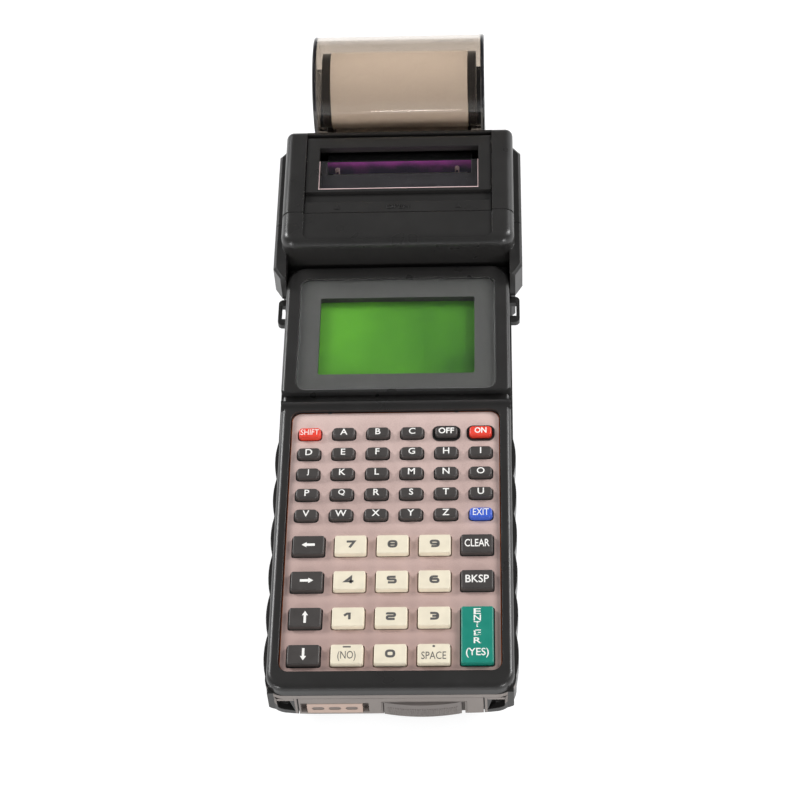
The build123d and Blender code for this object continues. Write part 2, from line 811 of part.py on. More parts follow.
def battery_latch():
    """Thumb latch in the cap, bowed out, with fine upright ribs."""
    x0 = latch_x - latch_width / 2
    x1 = latch_x + latch_width / 2
    side_y = cap_y0 + latch_lap
    back_y = cap_y0 + latch_back
    arc = ThreePointArc((x0, side_y), (latch_x, cap_y0 - latch_bulge), (x1, side_y))
    back = Polyline((x1, side_y), (x1, back_y), (x0, back_y), (x0, side_y))
    body = Pos(0, 0, latch_z0) * extrude(make_face(arc + back), amount=latch_z1 - latch_z0)
    low = body.edges().filter_by_position(Axis.Z, latch_z0 - 0.01, latch_z0 + 0.01).sort_by(Axis.Y)[0]
    body = fillet(low, latch_round)
    keep("battery_latch", body)


def contacts():
    """Charging contacts in their moulded strip."""
    y0 = cap_y0 - strip_proud
    strip = block(strip_x0, strip_x1, y0, cap_y0 + strip_thick - slot_play / 2, strip_z0, strip_z1)
    middle_x = (strip_x0 + strip_x1) / 2
    middle_z = (strip_z0 + strip_z1) / 2
    pads = []
    for index in (-1, 0, 1):
        outline = SlotOverall(contact_width, contact_height)
        pocket = SlotOverall(contact_width + 2 * slot_play, contact_height + 2 * slot_play)
        x = middle_x + index * contact_pitch
        pad_y1 = cap_y0 + contact_drop
        pad = extrude(Pos(x, pad_y1, middle_z) * (Plane.XZ * outline), amount=contact_thick)
        hole = extrude(Pos(x, pad_y1 + slot_play, middle_z) * (Plane.XZ * pocket), amount=2 * contact_thick)
        pads.append(pad)
        strip = strip - hole
    keep("contact_strip", strip)
    keep("charge_contacts", *pads)


def strap_eyes():
    """Two moulded eyes for a hand strap, one each side."""
    inner = rim_width / 2 - eye_relief
    outer = rim_width / 2 + eye_reach
    y = end_y + eye_y
    z0 = eye_z - eye_thick / 2
    z1 = eye_z + eye_thick / 2
    ring = slab(outer - inner + eye_root, eye_length, eye_corner, (outer + inner - eye_root) / 2, y, z0, z1)
    ring = ring & block(inner, outer + 1, y - eye_length, y + eye_length, 0, parting_z)
    hole_half = eye_length / 2 - eye_end
    hole = block(inner - 1, outer - eye_bar, y - hole_half, y + hole_half, 0, parting_z)
    keep("strap_eyes", *pair(ring - hole))


# ---------------------------------------------------------------- printer shells
def shoulder(corners):
    """The right-hand shoulder over the corners of its outer side, with a slanted upper edge."""
    side = rim_width / 2 + gap
    outline = [(side, corners[0][1])] + corners + [(side, corners[-1][1])]
    wing = extrude(make_face(Polyline(*outline, close=True)), amount=wing_z - parting_z)
    wing = Pos(0, 0, parting_z) * wing
    return chamfer(edges_at(wing, Axis.Z, wing_z).sort_by(Axis.X)[-2:], wing_edge)


def screw_lug(x, y):
    """Pillar under the ceiling of the printer's shell that takes a case screw."""
    return block(x - lug_half, printer_width / 2 - wall / 2, y - lug_half, y + lug_half,
                 parting_z, channel_z - wall / 2)


def screw_hole(x, y):
    """Blind hole of a case screw in its lug."""
    return post(screw_radius + thread_play, x, y, parting_z - 1, parting_z + lug_hole)


def head_housing():
    """Fixed front part of the printer: rounded nose and the front of the shoulders."""
    half = printer_width / 2
    y1 = seam_y - gap / 2
    plan = Pos(0, (front_y + y1) / 2) * Rectangle(printer_width, y1 - front_y)
    plan = fillet(plan.vertices().sort_by(Axis.Y)[:2], block_corner)
    nose = Pos(0, 0, parting_z) * extrude(plan, amount=printer_z - parting_z)
    top = edges_at(nose, Axis.Z, printer_z)
    nose = fillet(top.filter_by_position(Axis.Y, front_y - 1, y1 - 0.1), block_round)
    wing_y0 = front_y - wing_lead
    wing_step_x = max(wing_half - wing_step, rim_width / 2 + 2 * gap)
    wing = shoulder([(wing_step_x, wing_y0), (wing_half, wing_y0 + wing_front_cut), (wing_half, y1)])
    shell = nose + mirrored(wing)

    ceiling = channel_z - wall
    hollow = block(-half + wall, half - wall, front_y + wall, y1 + 1, parting_z - 1, ceiling)
    pocket = block(half - wall - 1, wing_half - wall, front_y + block_corner, y1 + 1,
                   parting_z - 1, wing_z - wall)
    recess_y0 = front_y + recess_inset
    recess = slab(channel_width, 2 * head_length, recess_corner, 0, recess_y0 + head_length,
                  channel_z, printer_z + 1)
    shell = shell - hollow - mirrored(pocket) - recess

    x, y = printer_screws[0]
    shell = shell + mirrored(screw_lug(x, y)) - mirrored(screw_hole(x, y))
    keep("printer_front_housing", shell)


def rear_housing():
    """Rear part of the printer: two sides and the back wall round the ribbon door."""
    half = printer_width / 2
    y0 = seam_y + gap / 2
    body = block(-half, half, y0, rear_y, parting_z, printer_z)
    body = fillet(edges_at(body, Axis.Y, rear_y).filter_by(Axis.Z), rear_corner)
    sides = edges_at(body, Axis.Z, printer_z)
    body = fillet(sides.filter_by_position(Axis.Y, y0 + 0.1, rear_y + 0.1), rear_round)
    wing_y1 = rear_y - wing_tail
    wing = shoulder([(wing_half, y0), (wing_half, wing_y1 - wing_rear_cut), (half - wall / 4, wing_y1)])
    shell = body + mirrored(wing)

    ceiling = channel_z - wall
    hollow = block(-half + wall, half - wall, y0 - 1, rear_y - channel_tail, parting_z - 1, ceiling)
    pocket = block(half - wall - 1, wing_half - wall, y0 - 1, wing_y1 - 2 * wing_rear_cut,
                   parting_z - 1, wing_z - wall)
    shell = shell - hollow - mirrored(pocket)

    # the channel for the door, and the lower top of the back wall between the sides
    channel_half = channel_width / 2
    channel = block(-channel_half, channel_half, y0 - 1, rear_y - channel_tail,
                    door_z - channel_floor, printer_z + 1)
    back = block(-channel_half, channel_half, rear_y - channel_tail - 1, rear_y + 1, channel_z, printer_z + 1)
    shell = shell - channel - back

    # cheeks for the door's pins, and rests under its front corners
    cheek = block(channel_half, channel_half + cheek_thick, door_hinge_y - cheek_half, rear_y - wall,
                  door_hinge_z - cheek_half, printer_z - wall)
    rest = block(channel_half - door_rest, half - wall, y0, y0 + rest_length, door_z - door_rest, door_z - gap)
    shell = shell + mirrored(cheek + rest)
    bore_x1 = channel_half + cheek_thick - 2 * pin_play
    shell = shell - mirrored(rod(door_pin + pin_play, channel_half - 1, bore_x1, door_hinge_y, door_hinge_z))

    # paper slot through the back wall
    slot = block(-paper_slot_half, paper_slot_half, rear_y - channel_tail - 1, rear_y + 1,
                 paper_slot_z0, paper_slot_z1)
    shell = shell - slot
    x, y = printer_screws[1]
    shell = shell + mirrored(screw_lug(x, y)) - mirrored(screw_hole(x, y))
    keep("printer_rear_housing", shell)


# ---------------------------------------------------------------- ribbon door
def ribbon_door():
    """Door over the ribbon, hinged along its rear edge."""
    half = door_width / 2
    y0 = seam_y + gap / 2
    plate = block(-half, half, y0, door_hinge_y, door_z, channel_z)
    barrel = rod(door_hinge_radius, -half, half, door_hinge_y, door_hinge_z)
    door = plate + barrel
    groove_y0 = seam_y + door_strip
    groove = block(-half - 1, half + 1, groove_y0, groove_y0 + door_groove,
                   channel_z - groove_depth, channel_z + 1)
    window_half = window_width / 2
    opening = block(-window_half, window_half, window_y0, window_y1, door_z + pane_ledge, channel_z + 1)
    light = block(-window_half + pane_ledge, window_half - pane_ledge, window_y0 + pane_ledge, window_y1,
                  door_z - 1, channel_z + 1)
    slot_y0 = window_y0 + pane_length + exit_gap
    slot = block(-window_half, window_half, slot_y0, window_y1, door_z - 1, channel_z + 1)
    door = door - groove - opening - light - slot
    lap_half = half - rest_length
    lap = block(-lap_half, lap_half, y0 + lap_y, y0 + lap_y + lap_depth, door_z - lap_depth, door_z)
    bore = rod(door_pin + pin_play, half + cheek_thick - door_pin_length, half + 1, door_hinge_y, door_hinge_z)
    keep("ribbon_door", door + lap - mirrored(bore))

    pane_half = window_half - pane_play
    pane = block(-pane_half, pane_half, window_y0 + pane_play, window_y0 + pane_length,
                 door_z + pane_ledge, door_z + pane_ledge + pane_thick)
    keep("door_window", pane)


# ---------------------------------------------------------------- paper housing
def cylinder_x(radius, half_width):
    """The paper housing's cylinder, or one inset from it."""
    return rod(radius, -half_width, half_width, axle_y, axle_z)


def knuckle_places():
    """X ranges of the cover's and the cradle's hinge knuckles, right-hand side."""
    end_x = knuckle_x + knuckle_length
    beside = [(knuckle_x - gap - knuckle_length, knuckle_x - gap), (end_x + gap, end_x + gap + knuckle_length)]
    return (knuckle_x, end_x), beside


def paper_cover():
    """Smoke-coloured cover over the roll, hinged behind it."""
    half = cover_width / 2
    outer = cylinder_x(cover_radius, half)
    outer = fillet(outer.edges(), cover_round)
    inner = cylinder_x(cover_radius - cover_wall, half - cover_wall)
    below = block(-half - 1, half + 1, axle_y - 2 * cover_radius, axle_y + 2 * cover_radius,
                  axle_z - 2 * cover_radius, cover_split_z + gap / 2)
    shell = outer - inner - below
    (x0, x1), _ = knuckle_places()
    barrel = rod(knuckle_radius, x0, x1, hinge_y, cover_split_z)
    chord = sqrt((cover_radius - cover_wall / 2) ** 2 - (axle_z - cover_split_z - knuckle_web) ** 2)
    web = along_x([
        (hinge_y - knuckle_radius + knuckle_lap, cover_split_z),
        (hinge_y + knuckle_radius, cover_split_z),
        (axle_y + cover_radius - knuckle_lap, cover_split_z + knuckle_web + knuckle_foot),
        (axle_y + chord, cover_split_z + knuckle_web),
    ], x0, x1)
    knuckle = barrel + web
    core = cylinder_x(cover_radius - cover_wall, half - cover_wall)
    keep_clear = block(x0 - 1, x1 + 1, axle_y, hinge_y - knuckle_radius - 2 * gap, 0, cover_split_z + gap / 2)
    knuckle = knuckle - core - keep_clear
    bore = rod(cover_pin + pin_play, x0 - 1, x1 + 1, hinge_y, cover_split_z)
    # small catches that lap over the rear edge of the printer
    catch = block(catch_x, catch_x + catch_width, rear_y - catch_lap, axle_y - cover_radius + cover_wall,
                  channel_z + gap, channel_z + gap + catch_lap)
    catch = catch - core
    keep("paper_cover", shell + mirrored(knuckle - bore) + mirrored(catch))


def roll_cradle():
    """Trough that holds the roll's lower half, with the two arms that carry its axle."""
    half = cover_width / 2
    outer = cylinder_x(cover_radius, half)
    front = block(-half, half, rear_y, axle_y, axle_z - cover_radius, cover_split_z - gap / 2)
    above = block(-half - 1, half + 1, axle_y - 2 * cover_radius, axle_y + 2 * cover_radius,
                  cover_split_z - gap / 2, axle_z + 2 * cover_radius)
    inner = cylinder_x(cover_radius - trough_wall, half - trough_wall)
    trough = (outer - above) + fillet(front.edges().filter_by(Axis.X).sort_by(Axis.Z)[0:1], trough_corner)
    trough = trough - inner
    chute = block(-paper_slot_half, paper_slot_half, rear_y - 1, axle_y, paper_slot_z0, paper_slot_z1)
    trough = trough - chute

    arm_x0 = roll_width / 2 + gap
    floor_z = axle_z - cover_radius + trough_wall / 2
    arm = rod(arm_radius, arm_x0, arm_x0 + arm_thick, axle_y, axle_z)
    arm = arm + block(arm_x0, arm_x0 + arm_thick, axle_y - arm_foot, axle_y + arm_foot,
                      floor_z + arm_lift, axle_z)
    arm = arm & (cylinder_x(cover_radius - trough_wall / 2, half))
    arm = arm - rod(axle_radius + pin_play, arm_x0 - 1, arm_x0 + arm_thick + 1, axle_y, axle_z)
    cradle = trough + mirrored(arm)

    # knuckles of the cover hinge
    _, places = knuckle_places()
    for x0, x1 in places:
        barrel = rod(knuckle_radius, x0, x1, hinge_y, cover_split_z)
        chord = sqrt((cover_radius - trough_wall / 2) ** 2 - (axle_z - cover_split_z + knuckle_web) ** 2)
        web = along_x([
            (hinge_y - knuckle_radius + knuckle_lap, cover_split_z - gap),
            (hinge_y + knuckle_radius, cover_split_z - gap),
            (axle_y + chord + knuckle_lap, cover_split_z - knuckle_web - knuckle_foot),
            (axle_y + chord, cover_split_z - knuckle_web),
        ], x0, x1)
        knuckle = barrel + web - cylinder_x(cover_radius - trough_wall, half - trough_wall)
        above_split = block(x0 - 1, x1 + 1, axle_y, hinge_y - knuckle_radius - gap, cover_split_z - gap / 2,
                            printer_z)
        knuckle = knuckle - above_split
        bore = rod(cover_pin + pin_play, x0 - 1, x1 + 1, hinge_y, cover_split_z)
        cradle = cradle + mirrored(knuckle) - mirrored(bore)
    keep("roll_cradle", cradle)


def paper():
    """The roll on its core, and the web that runs from it into the printer."""
    half = roll_width / 2
    roll = cylinder_x(roll_radius, half) - cylinder_x(core_radius + pin_play, half + 1)
    keep("paper_roll", roll)
    core = cylinder_x(core_radius, half) - cylinder_x(core_radius - core_wall, half - core_mouth)
    axle = cylinder_x(axle_radius, half + gap + arm_thick - seat_play)
    core = core + axle
    keep("roll_core", core)

    bend = feed_radius + paper_gap + paper_thick / 2
    line_z = feed_z - bend
    roll_line = axle_z - roll_radius - gap - paper_thick / 2
    start = (axle_y - 1.0, roll_line)
    low = (feed_mid_y, line_z)
    front = (feed_mid_y - bend, feed_z)
    top = (feed_mid_y - bend, ribbon_z + ribbon_height - 1.0)
    path = Polyline((start[0], start[1]), (rear_y + 4.0, line_z), low)
    turn = CenterArc((feed_mid_y, feed_z), bend, 180, 90)
    rise = Line(front, top)
    centre = path + turn + rise
    strip = trace(centre, line_width=paper_thick)
    web = extrude(Pos(-paper_width / 2, 0, 0) * (Plane.YZ * strip), amount=paper_width)
    keep("paper_web", web)


# ---------------------------------------------------------------- mechanism
def gear(teeth, phase):
    """Involute gear face, with a tooth centred at the angle phase, in degrees."""
    pitch = gear_module * teeth / 2
    base = pitch * cos(radians(pressure_angle))
    tip = pitch + tooth_tip * gear_module
    root = pitch - tooth_root * gear_module
    backlash = tooth_play / pitch

    def flank(radius):
        turned = acos(min(1.0, base / radius)) if radius > base else 0.0
        return tan(turned) - turned

    half_tooth = pi / (2 * teeth) + flank(pitch) - backlash
    radii = [max(base, root), pitch, tip]
    points = []
    for index in range(teeth):
        middle = radians(phase) + 2 * pi * index / teeth
        before = [(r, middle - half_tooth + flank(r)) for r in radii]
        after = [(r, middle + half_tooth - flank(r)) for r in reversed(radii)]
        foot = (root, middle - half_tooth)
        heel = (root, middle + half_tooth)
        for radius, angle in [foot] + before + after + [heel]:
            points.append((radius * cos(angle), radius * sin(angle)))
    return make_face(Polyline(*points, close=True))


def gear_at(teeth, y, z, phase, x0):
    """A gear on an axis along X."""
    return extrude(Pos(x0, y, z) * (Plane.YZ * gear(teeth, phase)), amount=gear_width)


def feed_train():
    """Middles of the three gears, and the directions in which they mesh."""
    first = gear_module * (feed_teeth + idler_teeth) / 2 + mesh_slack
    second = gear_module * (idler_teeth + pinion_teeth) / 2 + mesh_slack
    lean = radians(train_lean)
    idler = (feed_mid_y, feed_z - first)
    pinion = (idler[0] - second * sin(lean), idler[1] - second * cos(lean))
    return idler, pinion, 270.0, 270.0 - train_lean


def print_mechanism():
    """Chassis, rods, print head, ribbon, feed roller and its gear train."""
    half = frame_width / 2
    idler, pinion, first_angle, second_angle = feed_train()
    gear_x0 = half + gear_gap

    base = block(-half, half, frame_y0, frame_y1, frame_base_z, frame_base_z + frame_plate)
    side = block(half - frame_plate, half, rod_y - frame_lap, frame_y1, frame_base_z, frame_top)
    low_front = block(half - frame_plate - 1, half + 1, rod_y - frame_lap - 1, rod_y + rod_pitch + frame_low,
                      rod_z + 3 * rod_radius, frame_top + 1)
    side = side - low_front
    frame = base + mirrored(side)
    bridge = block(-half + frame_plate, half - frame_plate, rod_y - frame_lap,
                   rod_y - frame_lap + frame_plate, frame_base_z, frame_base_z + bridge_height)
    frame = frame + bridge
    for index in (0, 1):
        frame = frame - rod(rod_radius + pin_play, -half - 1, half + 1, rod_y + index * rod_pitch, rod_z)
    frame = frame - rod(shaft_radius + pin_play, -half - 1, half + 1, feed_mid_y, feed_z)
    for y, z in (idler, pinion):
        frame = frame - rod(stub_radius + pin_play, half - frame_plate - 1, half + 1, y, z)
    post_y = rod_y + rod_pitch / 2
    post_half = rod_pitch / 2 - rod_radius - gap
    pillar = block(half - pillar_x1, half - pillar_x0, post_y - post_half, post_y + post_half,
                   frame_base_z, cassette_z0)
    frame = frame + mirrored(pillar)
    keep("print_frame", frame)

    rods = [rod(rod_radius, -half, half, rod_y + index * rod_pitch, rod_z) for index in (0, 1)]
    pin_x1 = channel_width / 2 + cheek_thick - 2 * gap
    rods = rods + pair(rod(door_pin, pin_x1 - door_pin_length + gap, pin_x1, door_hinge_y, door_hinge_z))
    _, places = knuckle_places()
    rods = rods + pair(rod(cover_pin, places[0][0], places[1][1], hinge_y, cover_split_z))
    keep("steel_rods", *rods)

    head_y1 = rod_y + rod_pitch + head_lap
    head = block(head_park - head_width / 2, head_park + head_width / 2, rod_y - head_lap, head_y1,
                 rod_z - head_drop, rod_z + head_rise)
    tip_y = ribbon_y - snout_gap
    snout = block(head_park - snout_half, head_park + snout_half, head_y1 - 1, tip_y,
                  rod_z - snout_drop, rod_z + snout_rise)
    head = head + chamfer(edges_at(snout, Axis.Y, tip_y).filter_by(Axis.Z), snout_edge)
    for index in (0, 1):
        head = head - rod(rod_radius + pin_play, -half, half, rod_y + index * rod_pitch, rod_z)
    keep("print_head", head)

    # flat ribbon cassette: body in front, two arms that stretch the ribbon
    cassette_half = cassette_width / 2 - cassette_play
    cassette_y1 = ribbon_y - cassette_gap
    cassette = slab(2 * cassette_half, cassette_length, cassette_corner, 0, cassette_y1 - cassette_length / 2,
                    cassette_z0, cassette_z1)
    arm = block(ribbon_width / 2 + arm_inset, cassette_half, cassette_y1 - arm_root, ribbon_y + arm_tip,
                cassette_z0, cassette_z1)
    cassette = cassette + mirrored(arm)
    cassette = fillet(edges_at(cassette, Axis.Z, cassette_z1), cassette_edge)
    keep("ribbon_cassette", cassette)
    ribbon_half = ribbon_width / 2 + ribbon_lap
    ribbon = block(-ribbon_half, ribbon_half, ribbon_y, ribbon_y + ribbon_thick, ribbon_z, ribbon_z + ribbon_height)
    keep("ink_ribbon", ribbon)

    drum_half = paper_width / 2 + drum_lap
    drum = rod(feed_radius, -drum_half, drum_half, feed_mid_y, feed_z)
    shaft = rod(shaft_radius, -half - shaft_reach, gear_x0 + gear_width, feed_mid_y, feed_z)
    keep("feed_roller", drum + shaft + gear_at(feed_teeth, feed_mid_y, feed_z, first_angle, gear_x0))

    stub_x0 = half - frame_plate - stub_reach
    idler_phase = first_angle + 180.0 + 180.0 / idler_teeth
    idler_gear = gear_at(idler_teeth, idler[0], idler[1], idler_phase, gear_x0)
    keep("idler_gear", idler_gear + rod(stub_radius, stub_x0, gear_x0 + 1, idler[0], idler[1]))
    # the tooth that faces the pinion sets how far the pinion is turned
    step = 360.0 / idler_teeth
    offset = (second_angle - idler_phase) % step
    pinion_phase = second_angle + 180.0 + 180.0 / pinion_teeth + offset * idler_teeth / pinion_teeth
    pinion_gear = gear_at(pinion_teeth, pinion[0], pinion[1], pinion_phase, gear_x0)
    keep("motor_pinion", pinion_gear + rod(stub_radius, stub_x0, gear_x0 + 1, pinion[0], pinion[1]))

    motor_x1 = half - frame_plate - motor_gap
    motor = rod(motor_radius, motor_x1 - motor_length, motor_x1, pinion[0], pinion[1])
    saddle = block(motor_x1 - motor_length + saddle_inset, motor_x1 - saddle_inset,
                   pinion[0] - saddle_half, pinion[0] + saddle_half, frame_base_z + frame_plate, pinion[1])
    keep("feed_motor", motor + saddle)


# ---------------------------------------------------------------- build
lower_case()
case_screws()
rubber_feet()
upper_case()
keypad()
main_board()
display()
battery_pack()
battery_latch()
contacts()
strap_eyes()
head_housing()
rear_housing()
ribbon_door()
paper_cover()
roll_cradle()
paper()
print_mechanism()

os.makedirs("parts", exist_ok=True)
for name, solids in nodes.items():
    shape = solids[0] if len(solids) == 1 else Compound(solids)
    export_step(shape, "parts/" + name + ".step")
    print(name, len(solids), round(sum(solid.volume for solid in solids), 1))
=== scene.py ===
"""Finishes and fine pieces of a portable data terminal with a ribbon printer.

Lengths are in metres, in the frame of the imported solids: +X to the right of the keys, +Y from the
battery end to the paper cover, +Z up out of the key tops.
"""

import json
from math import cos, pi, radians, sin, sqrt

import bmesh
import bpy
from bpy.props import FloatProperty, FloatVectorProperty, PointerProperty
from mathutils import Matrix, Vector


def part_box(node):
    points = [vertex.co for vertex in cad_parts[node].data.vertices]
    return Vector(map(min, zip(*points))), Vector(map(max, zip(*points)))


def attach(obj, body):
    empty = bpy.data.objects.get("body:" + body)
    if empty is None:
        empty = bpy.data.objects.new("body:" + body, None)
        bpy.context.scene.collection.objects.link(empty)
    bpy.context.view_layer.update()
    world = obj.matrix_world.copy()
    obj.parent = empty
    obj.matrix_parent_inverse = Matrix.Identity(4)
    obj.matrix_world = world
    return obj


bl_info = {
    "name": "Portable Data Terminal",
    "version": (1, 0, 0),
    "blender": (4, 5, 0),
    "location": "View3D > Sidebar > Terminal",
    "description": "Finishes, legends and fine pieces of a portable data terminal",
    "category": "Object",
}

MM = 0.001
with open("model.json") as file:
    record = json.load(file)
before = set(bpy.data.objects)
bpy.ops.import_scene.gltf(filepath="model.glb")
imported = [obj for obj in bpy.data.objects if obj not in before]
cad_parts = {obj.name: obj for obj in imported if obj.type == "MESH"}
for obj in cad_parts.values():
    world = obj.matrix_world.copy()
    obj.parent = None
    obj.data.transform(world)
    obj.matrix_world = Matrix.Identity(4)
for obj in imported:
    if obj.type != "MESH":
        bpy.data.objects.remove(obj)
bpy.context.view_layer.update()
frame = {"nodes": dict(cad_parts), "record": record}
RECORD = frame["record"]
SLOTS = {entry["node"]: entry["material_slot"] for entry in RECORD["subparts"]}


def linear(code):
    """Linear RGBA of an sRGB hex colour."""
    values = [int(code[i:i + 2], 16) / 255 for i in (1, 3, 5)]
    return [v / 12.92 if v <= 0.04045 else ((v + 0.055) / 1.055) ** 2.4 for v in values] + [1.0]


def length(name, description, millimetres):
    """A length that a user may change."""
    return FloatProperty(name=name, description=description, default=millimetres * MM, unit="LENGTH", precision=5)


def colour(name, description, code):
    """A colour that a user may change."""
    return FloatVectorProperty(name=name, description=description, default=linear(code), subtype="COLOR", size=4,
                               min=0.0, max=1.0)


# ---------------------------------------------------------------- sizes and colours
class TerminalSizes(bpy.types.PropertyGroup):
    """Sizes of the pieces that are added to the solids."""
    ink: length("Ink", "Thickness of the printed legends", 0.02)
    letter_height: length("Letter Height", "Cap height on the small keys", 2.9)
    letter_shift: length("Letter Shift", "Legend above the middle of a small key", 0.15)
    digit_height: length("Digit Height", "Height of the digits", 3.4)
    digit_width: length("Digit Width", "Width of the digits", 3.8)
    digit_stroke: length("Digit Stroke", "Width of the digits' strokes", 0.95)
    digit_bend: length("Digit Bend", "How round the digits' corners are", 1.1)
    arrow_length: length("Arrow Length", "Length of the arrows", 5.0)
    arrow_width: length("Arrow Width", "Width of the arrows' heads", 2.31)
    arrow_shaft: length("Arrow Shaft", "Width of the arrows' shafts", 1.1)
    mask_width: length("Mask Width", "Clear width inside the lens border", 62.6)
    mask_length: length("Mask Length", "Clear length inside the lens border", 39.05)
    mask_shift: length("Mask Shift", "Clear area, from the middle of the lens", -0.6)
    mask_thick: length("Mask Thickness", "Thickness of the printed border", 0.12)
    rib_pitch: length("Rib Pitch", "Spacing of the ribs on the battery latch", 0.9)
    rib_depth: length("Rib Depth", "How far the latch's ribs stand out", 0.18)
    trim_width: length("Trim Width", "Bare edge of the key plate", 0.35)
    mark_height: length("Mark Height", "Height of the moulded lid mark", 2.3)
    mark_raise: length("Mark Raise", "How far the lid mark stands out", 0.25)
    mark_spread: length("Mark Spread", "Middle of the lid to its arrowheads", 25.0)


class TerminalColours(bpy.types.PropertyGroup):
    """Colours of the mouldings, inks and metals."""
    case: colour("Case", "Charcoal case mouldings", "#292827")
    plate: colour("Plate", "Mauve keypad plate", "#E6CCC4")
    plate_dark: colour("Plate Dark", "Darker flecks of the plate", "#D0B4AC")
    # painted shade: the darker colour the plate is painted towards its battery end
    plate_painted_shade: colour("Plate Dull", "The plate at its handled end", "#BFA29A")
    key_charcoal: colour("Charcoal Keys", "Charcoal key mouldings", "#3F3B39")
    key_cream: colour("Cream Keys", "Cream key mouldings", "#E4DAC3")
    key_green: colour("Green Key", "Green key moulding", "#128270")
    key_blue: colour("Blue Key", "Blue key moulding", "#3B5EC6")
    key_red: colour("Red Keys", "Red key mouldings", "#E2402F")
    ink_white: colour("White Ink", "Legends on dark keys", "#F1EFEA")
    ink_grey: colour("Grey Ink", "Legends on cream keys", "#595755")
    # painted light and shade: the panel is painted lighter on its left and darker on its far side; the darker colour
    # also draws its dots
    display: colour("Display", "Lit side of the liquid crystal panel", "#4F8F22")
    display_shade_and_dots: colour("Display Edge", "Far side of the liquid crystal panel", "#2C5C15")
    mask: colour("Lens Border", "Printed border under the lens", "#3E3D3C")
    grey_end: colour("Battery End", "Grey battery end moulding", "#8F8782")
    latch: colour("Latch", "Darker grey thumb latch", "#79726E")
    beige: colour("Contact Strip", "Beige contact strip", "#C9B0A2")
    # painted light: the ribbon is painted lighter magenta towards its upper edge over this darker purple; its blots are
    # the ink's own
    ribbon: colour("Ribbon", "Inked ribbon, where it is soaked", "#3E1F55")
    ribbon_lit: colour("Ribbon Edge", "Inked ribbon, along its upper edge", "#A8389B")
    paper: colour("Paper", "Plain roll paper", "#E3DED9")
    smoke: colour("Smoke Cover", "Smoke-coloured cover", "#D8D0C7")


# ---------------------------------------------------------------- node helpers
def add(tree, kind, settings=None, inputs=None):
    """Adds a node. Settings are its attributes; inputs are values, or sockets to link."""
    node = tree.nodes.new(kind)
    for name, value in (settings or {}).items():
        setattr(node, name, value)
    for name, value in (inputs or {}).items():
        if isinstance(value, bpy.types.NodeSocket):
            tree.links.new(value, node.inputs[name])
        else:
            node.inputs[name].default_value = value
    return node


def start_material(name, roughness, metallic=0.0, ior=1.46, coat=0.0):
    """A new Principled material; gives the material, its tree, its shader and its object coordinates."""
    material = bpy.data.materials.new(name)
    material.use_nodes = True
    tree = material.node_tree
    shader = tree.nodes["Principled BSDF"]
    shader.inputs["Roughness"].default_value = roughness
    shader.inputs["Metallic"].default_value = metallic
    if metallic == 0.0:
        shader.inputs["IOR"].default_value = ior
    shader.inputs["Coat Weight"].default_value = coat
    shader.inputs["Coat Roughness"].default_value = 0.15
    place = add(tree, "ShaderNodeTexCoord").outputs["Object"]
    return material, tree, shader, place


def seen_directly(tree):
    """1 where a surface is seen by the camera, in glass or in gloss; 0 once light has bounced off a matt surface."""
    rays = add(tree, "ShaderNodeLightPath")
    sight = rays.outputs["Is Camera Ray"]
    for way in ("Is Glossy Ray", "Is Transmission Ray"):
        sight = add(tree, "ShaderNodeMath", {"operation": "MAXIMUM"}, {0: sight, 1: rays.outputs[way]}).outputs["Value"]
    matt = add(tree, "ShaderNodeMath", {"operation": "LESS_THAN"}, {0: rays.outputs["Diffuse Depth"], 1: 0.5})
    return add(tree, "ShaderNodeMath", {"operation": "MULTIPLY"}, {0: sight, 1: matt.outputs["Value"]}).outputs["Value"]


def relief(tree, shader, height, depth_mm, edge_mm=0.0):
    """Bump from a height field; edge_mm rounds the sharp edges that light catches."""
    inputs = {"Height": height, "Distance": depth_mm * MM, "Strength": 1.0}
    if edge_mm > 0.0:
        rounded = add(tree, "ShaderNodeBevel", {"samples": 4}, {"Radius": edge_mm * MM})
        inputs["Normal"] = rounded.outputs["Normal"]
    bump = add(tree, "ShaderNodeBump", {}, inputs)
    tree.links.new(bump.outputs["Normal"], shader.inputs["Normal"])


def shade(value, factor):
    """The same colour, lighter or darker."""
    return [min(1.0, c * factor) for c in list(value)[:3]] + [1.0]


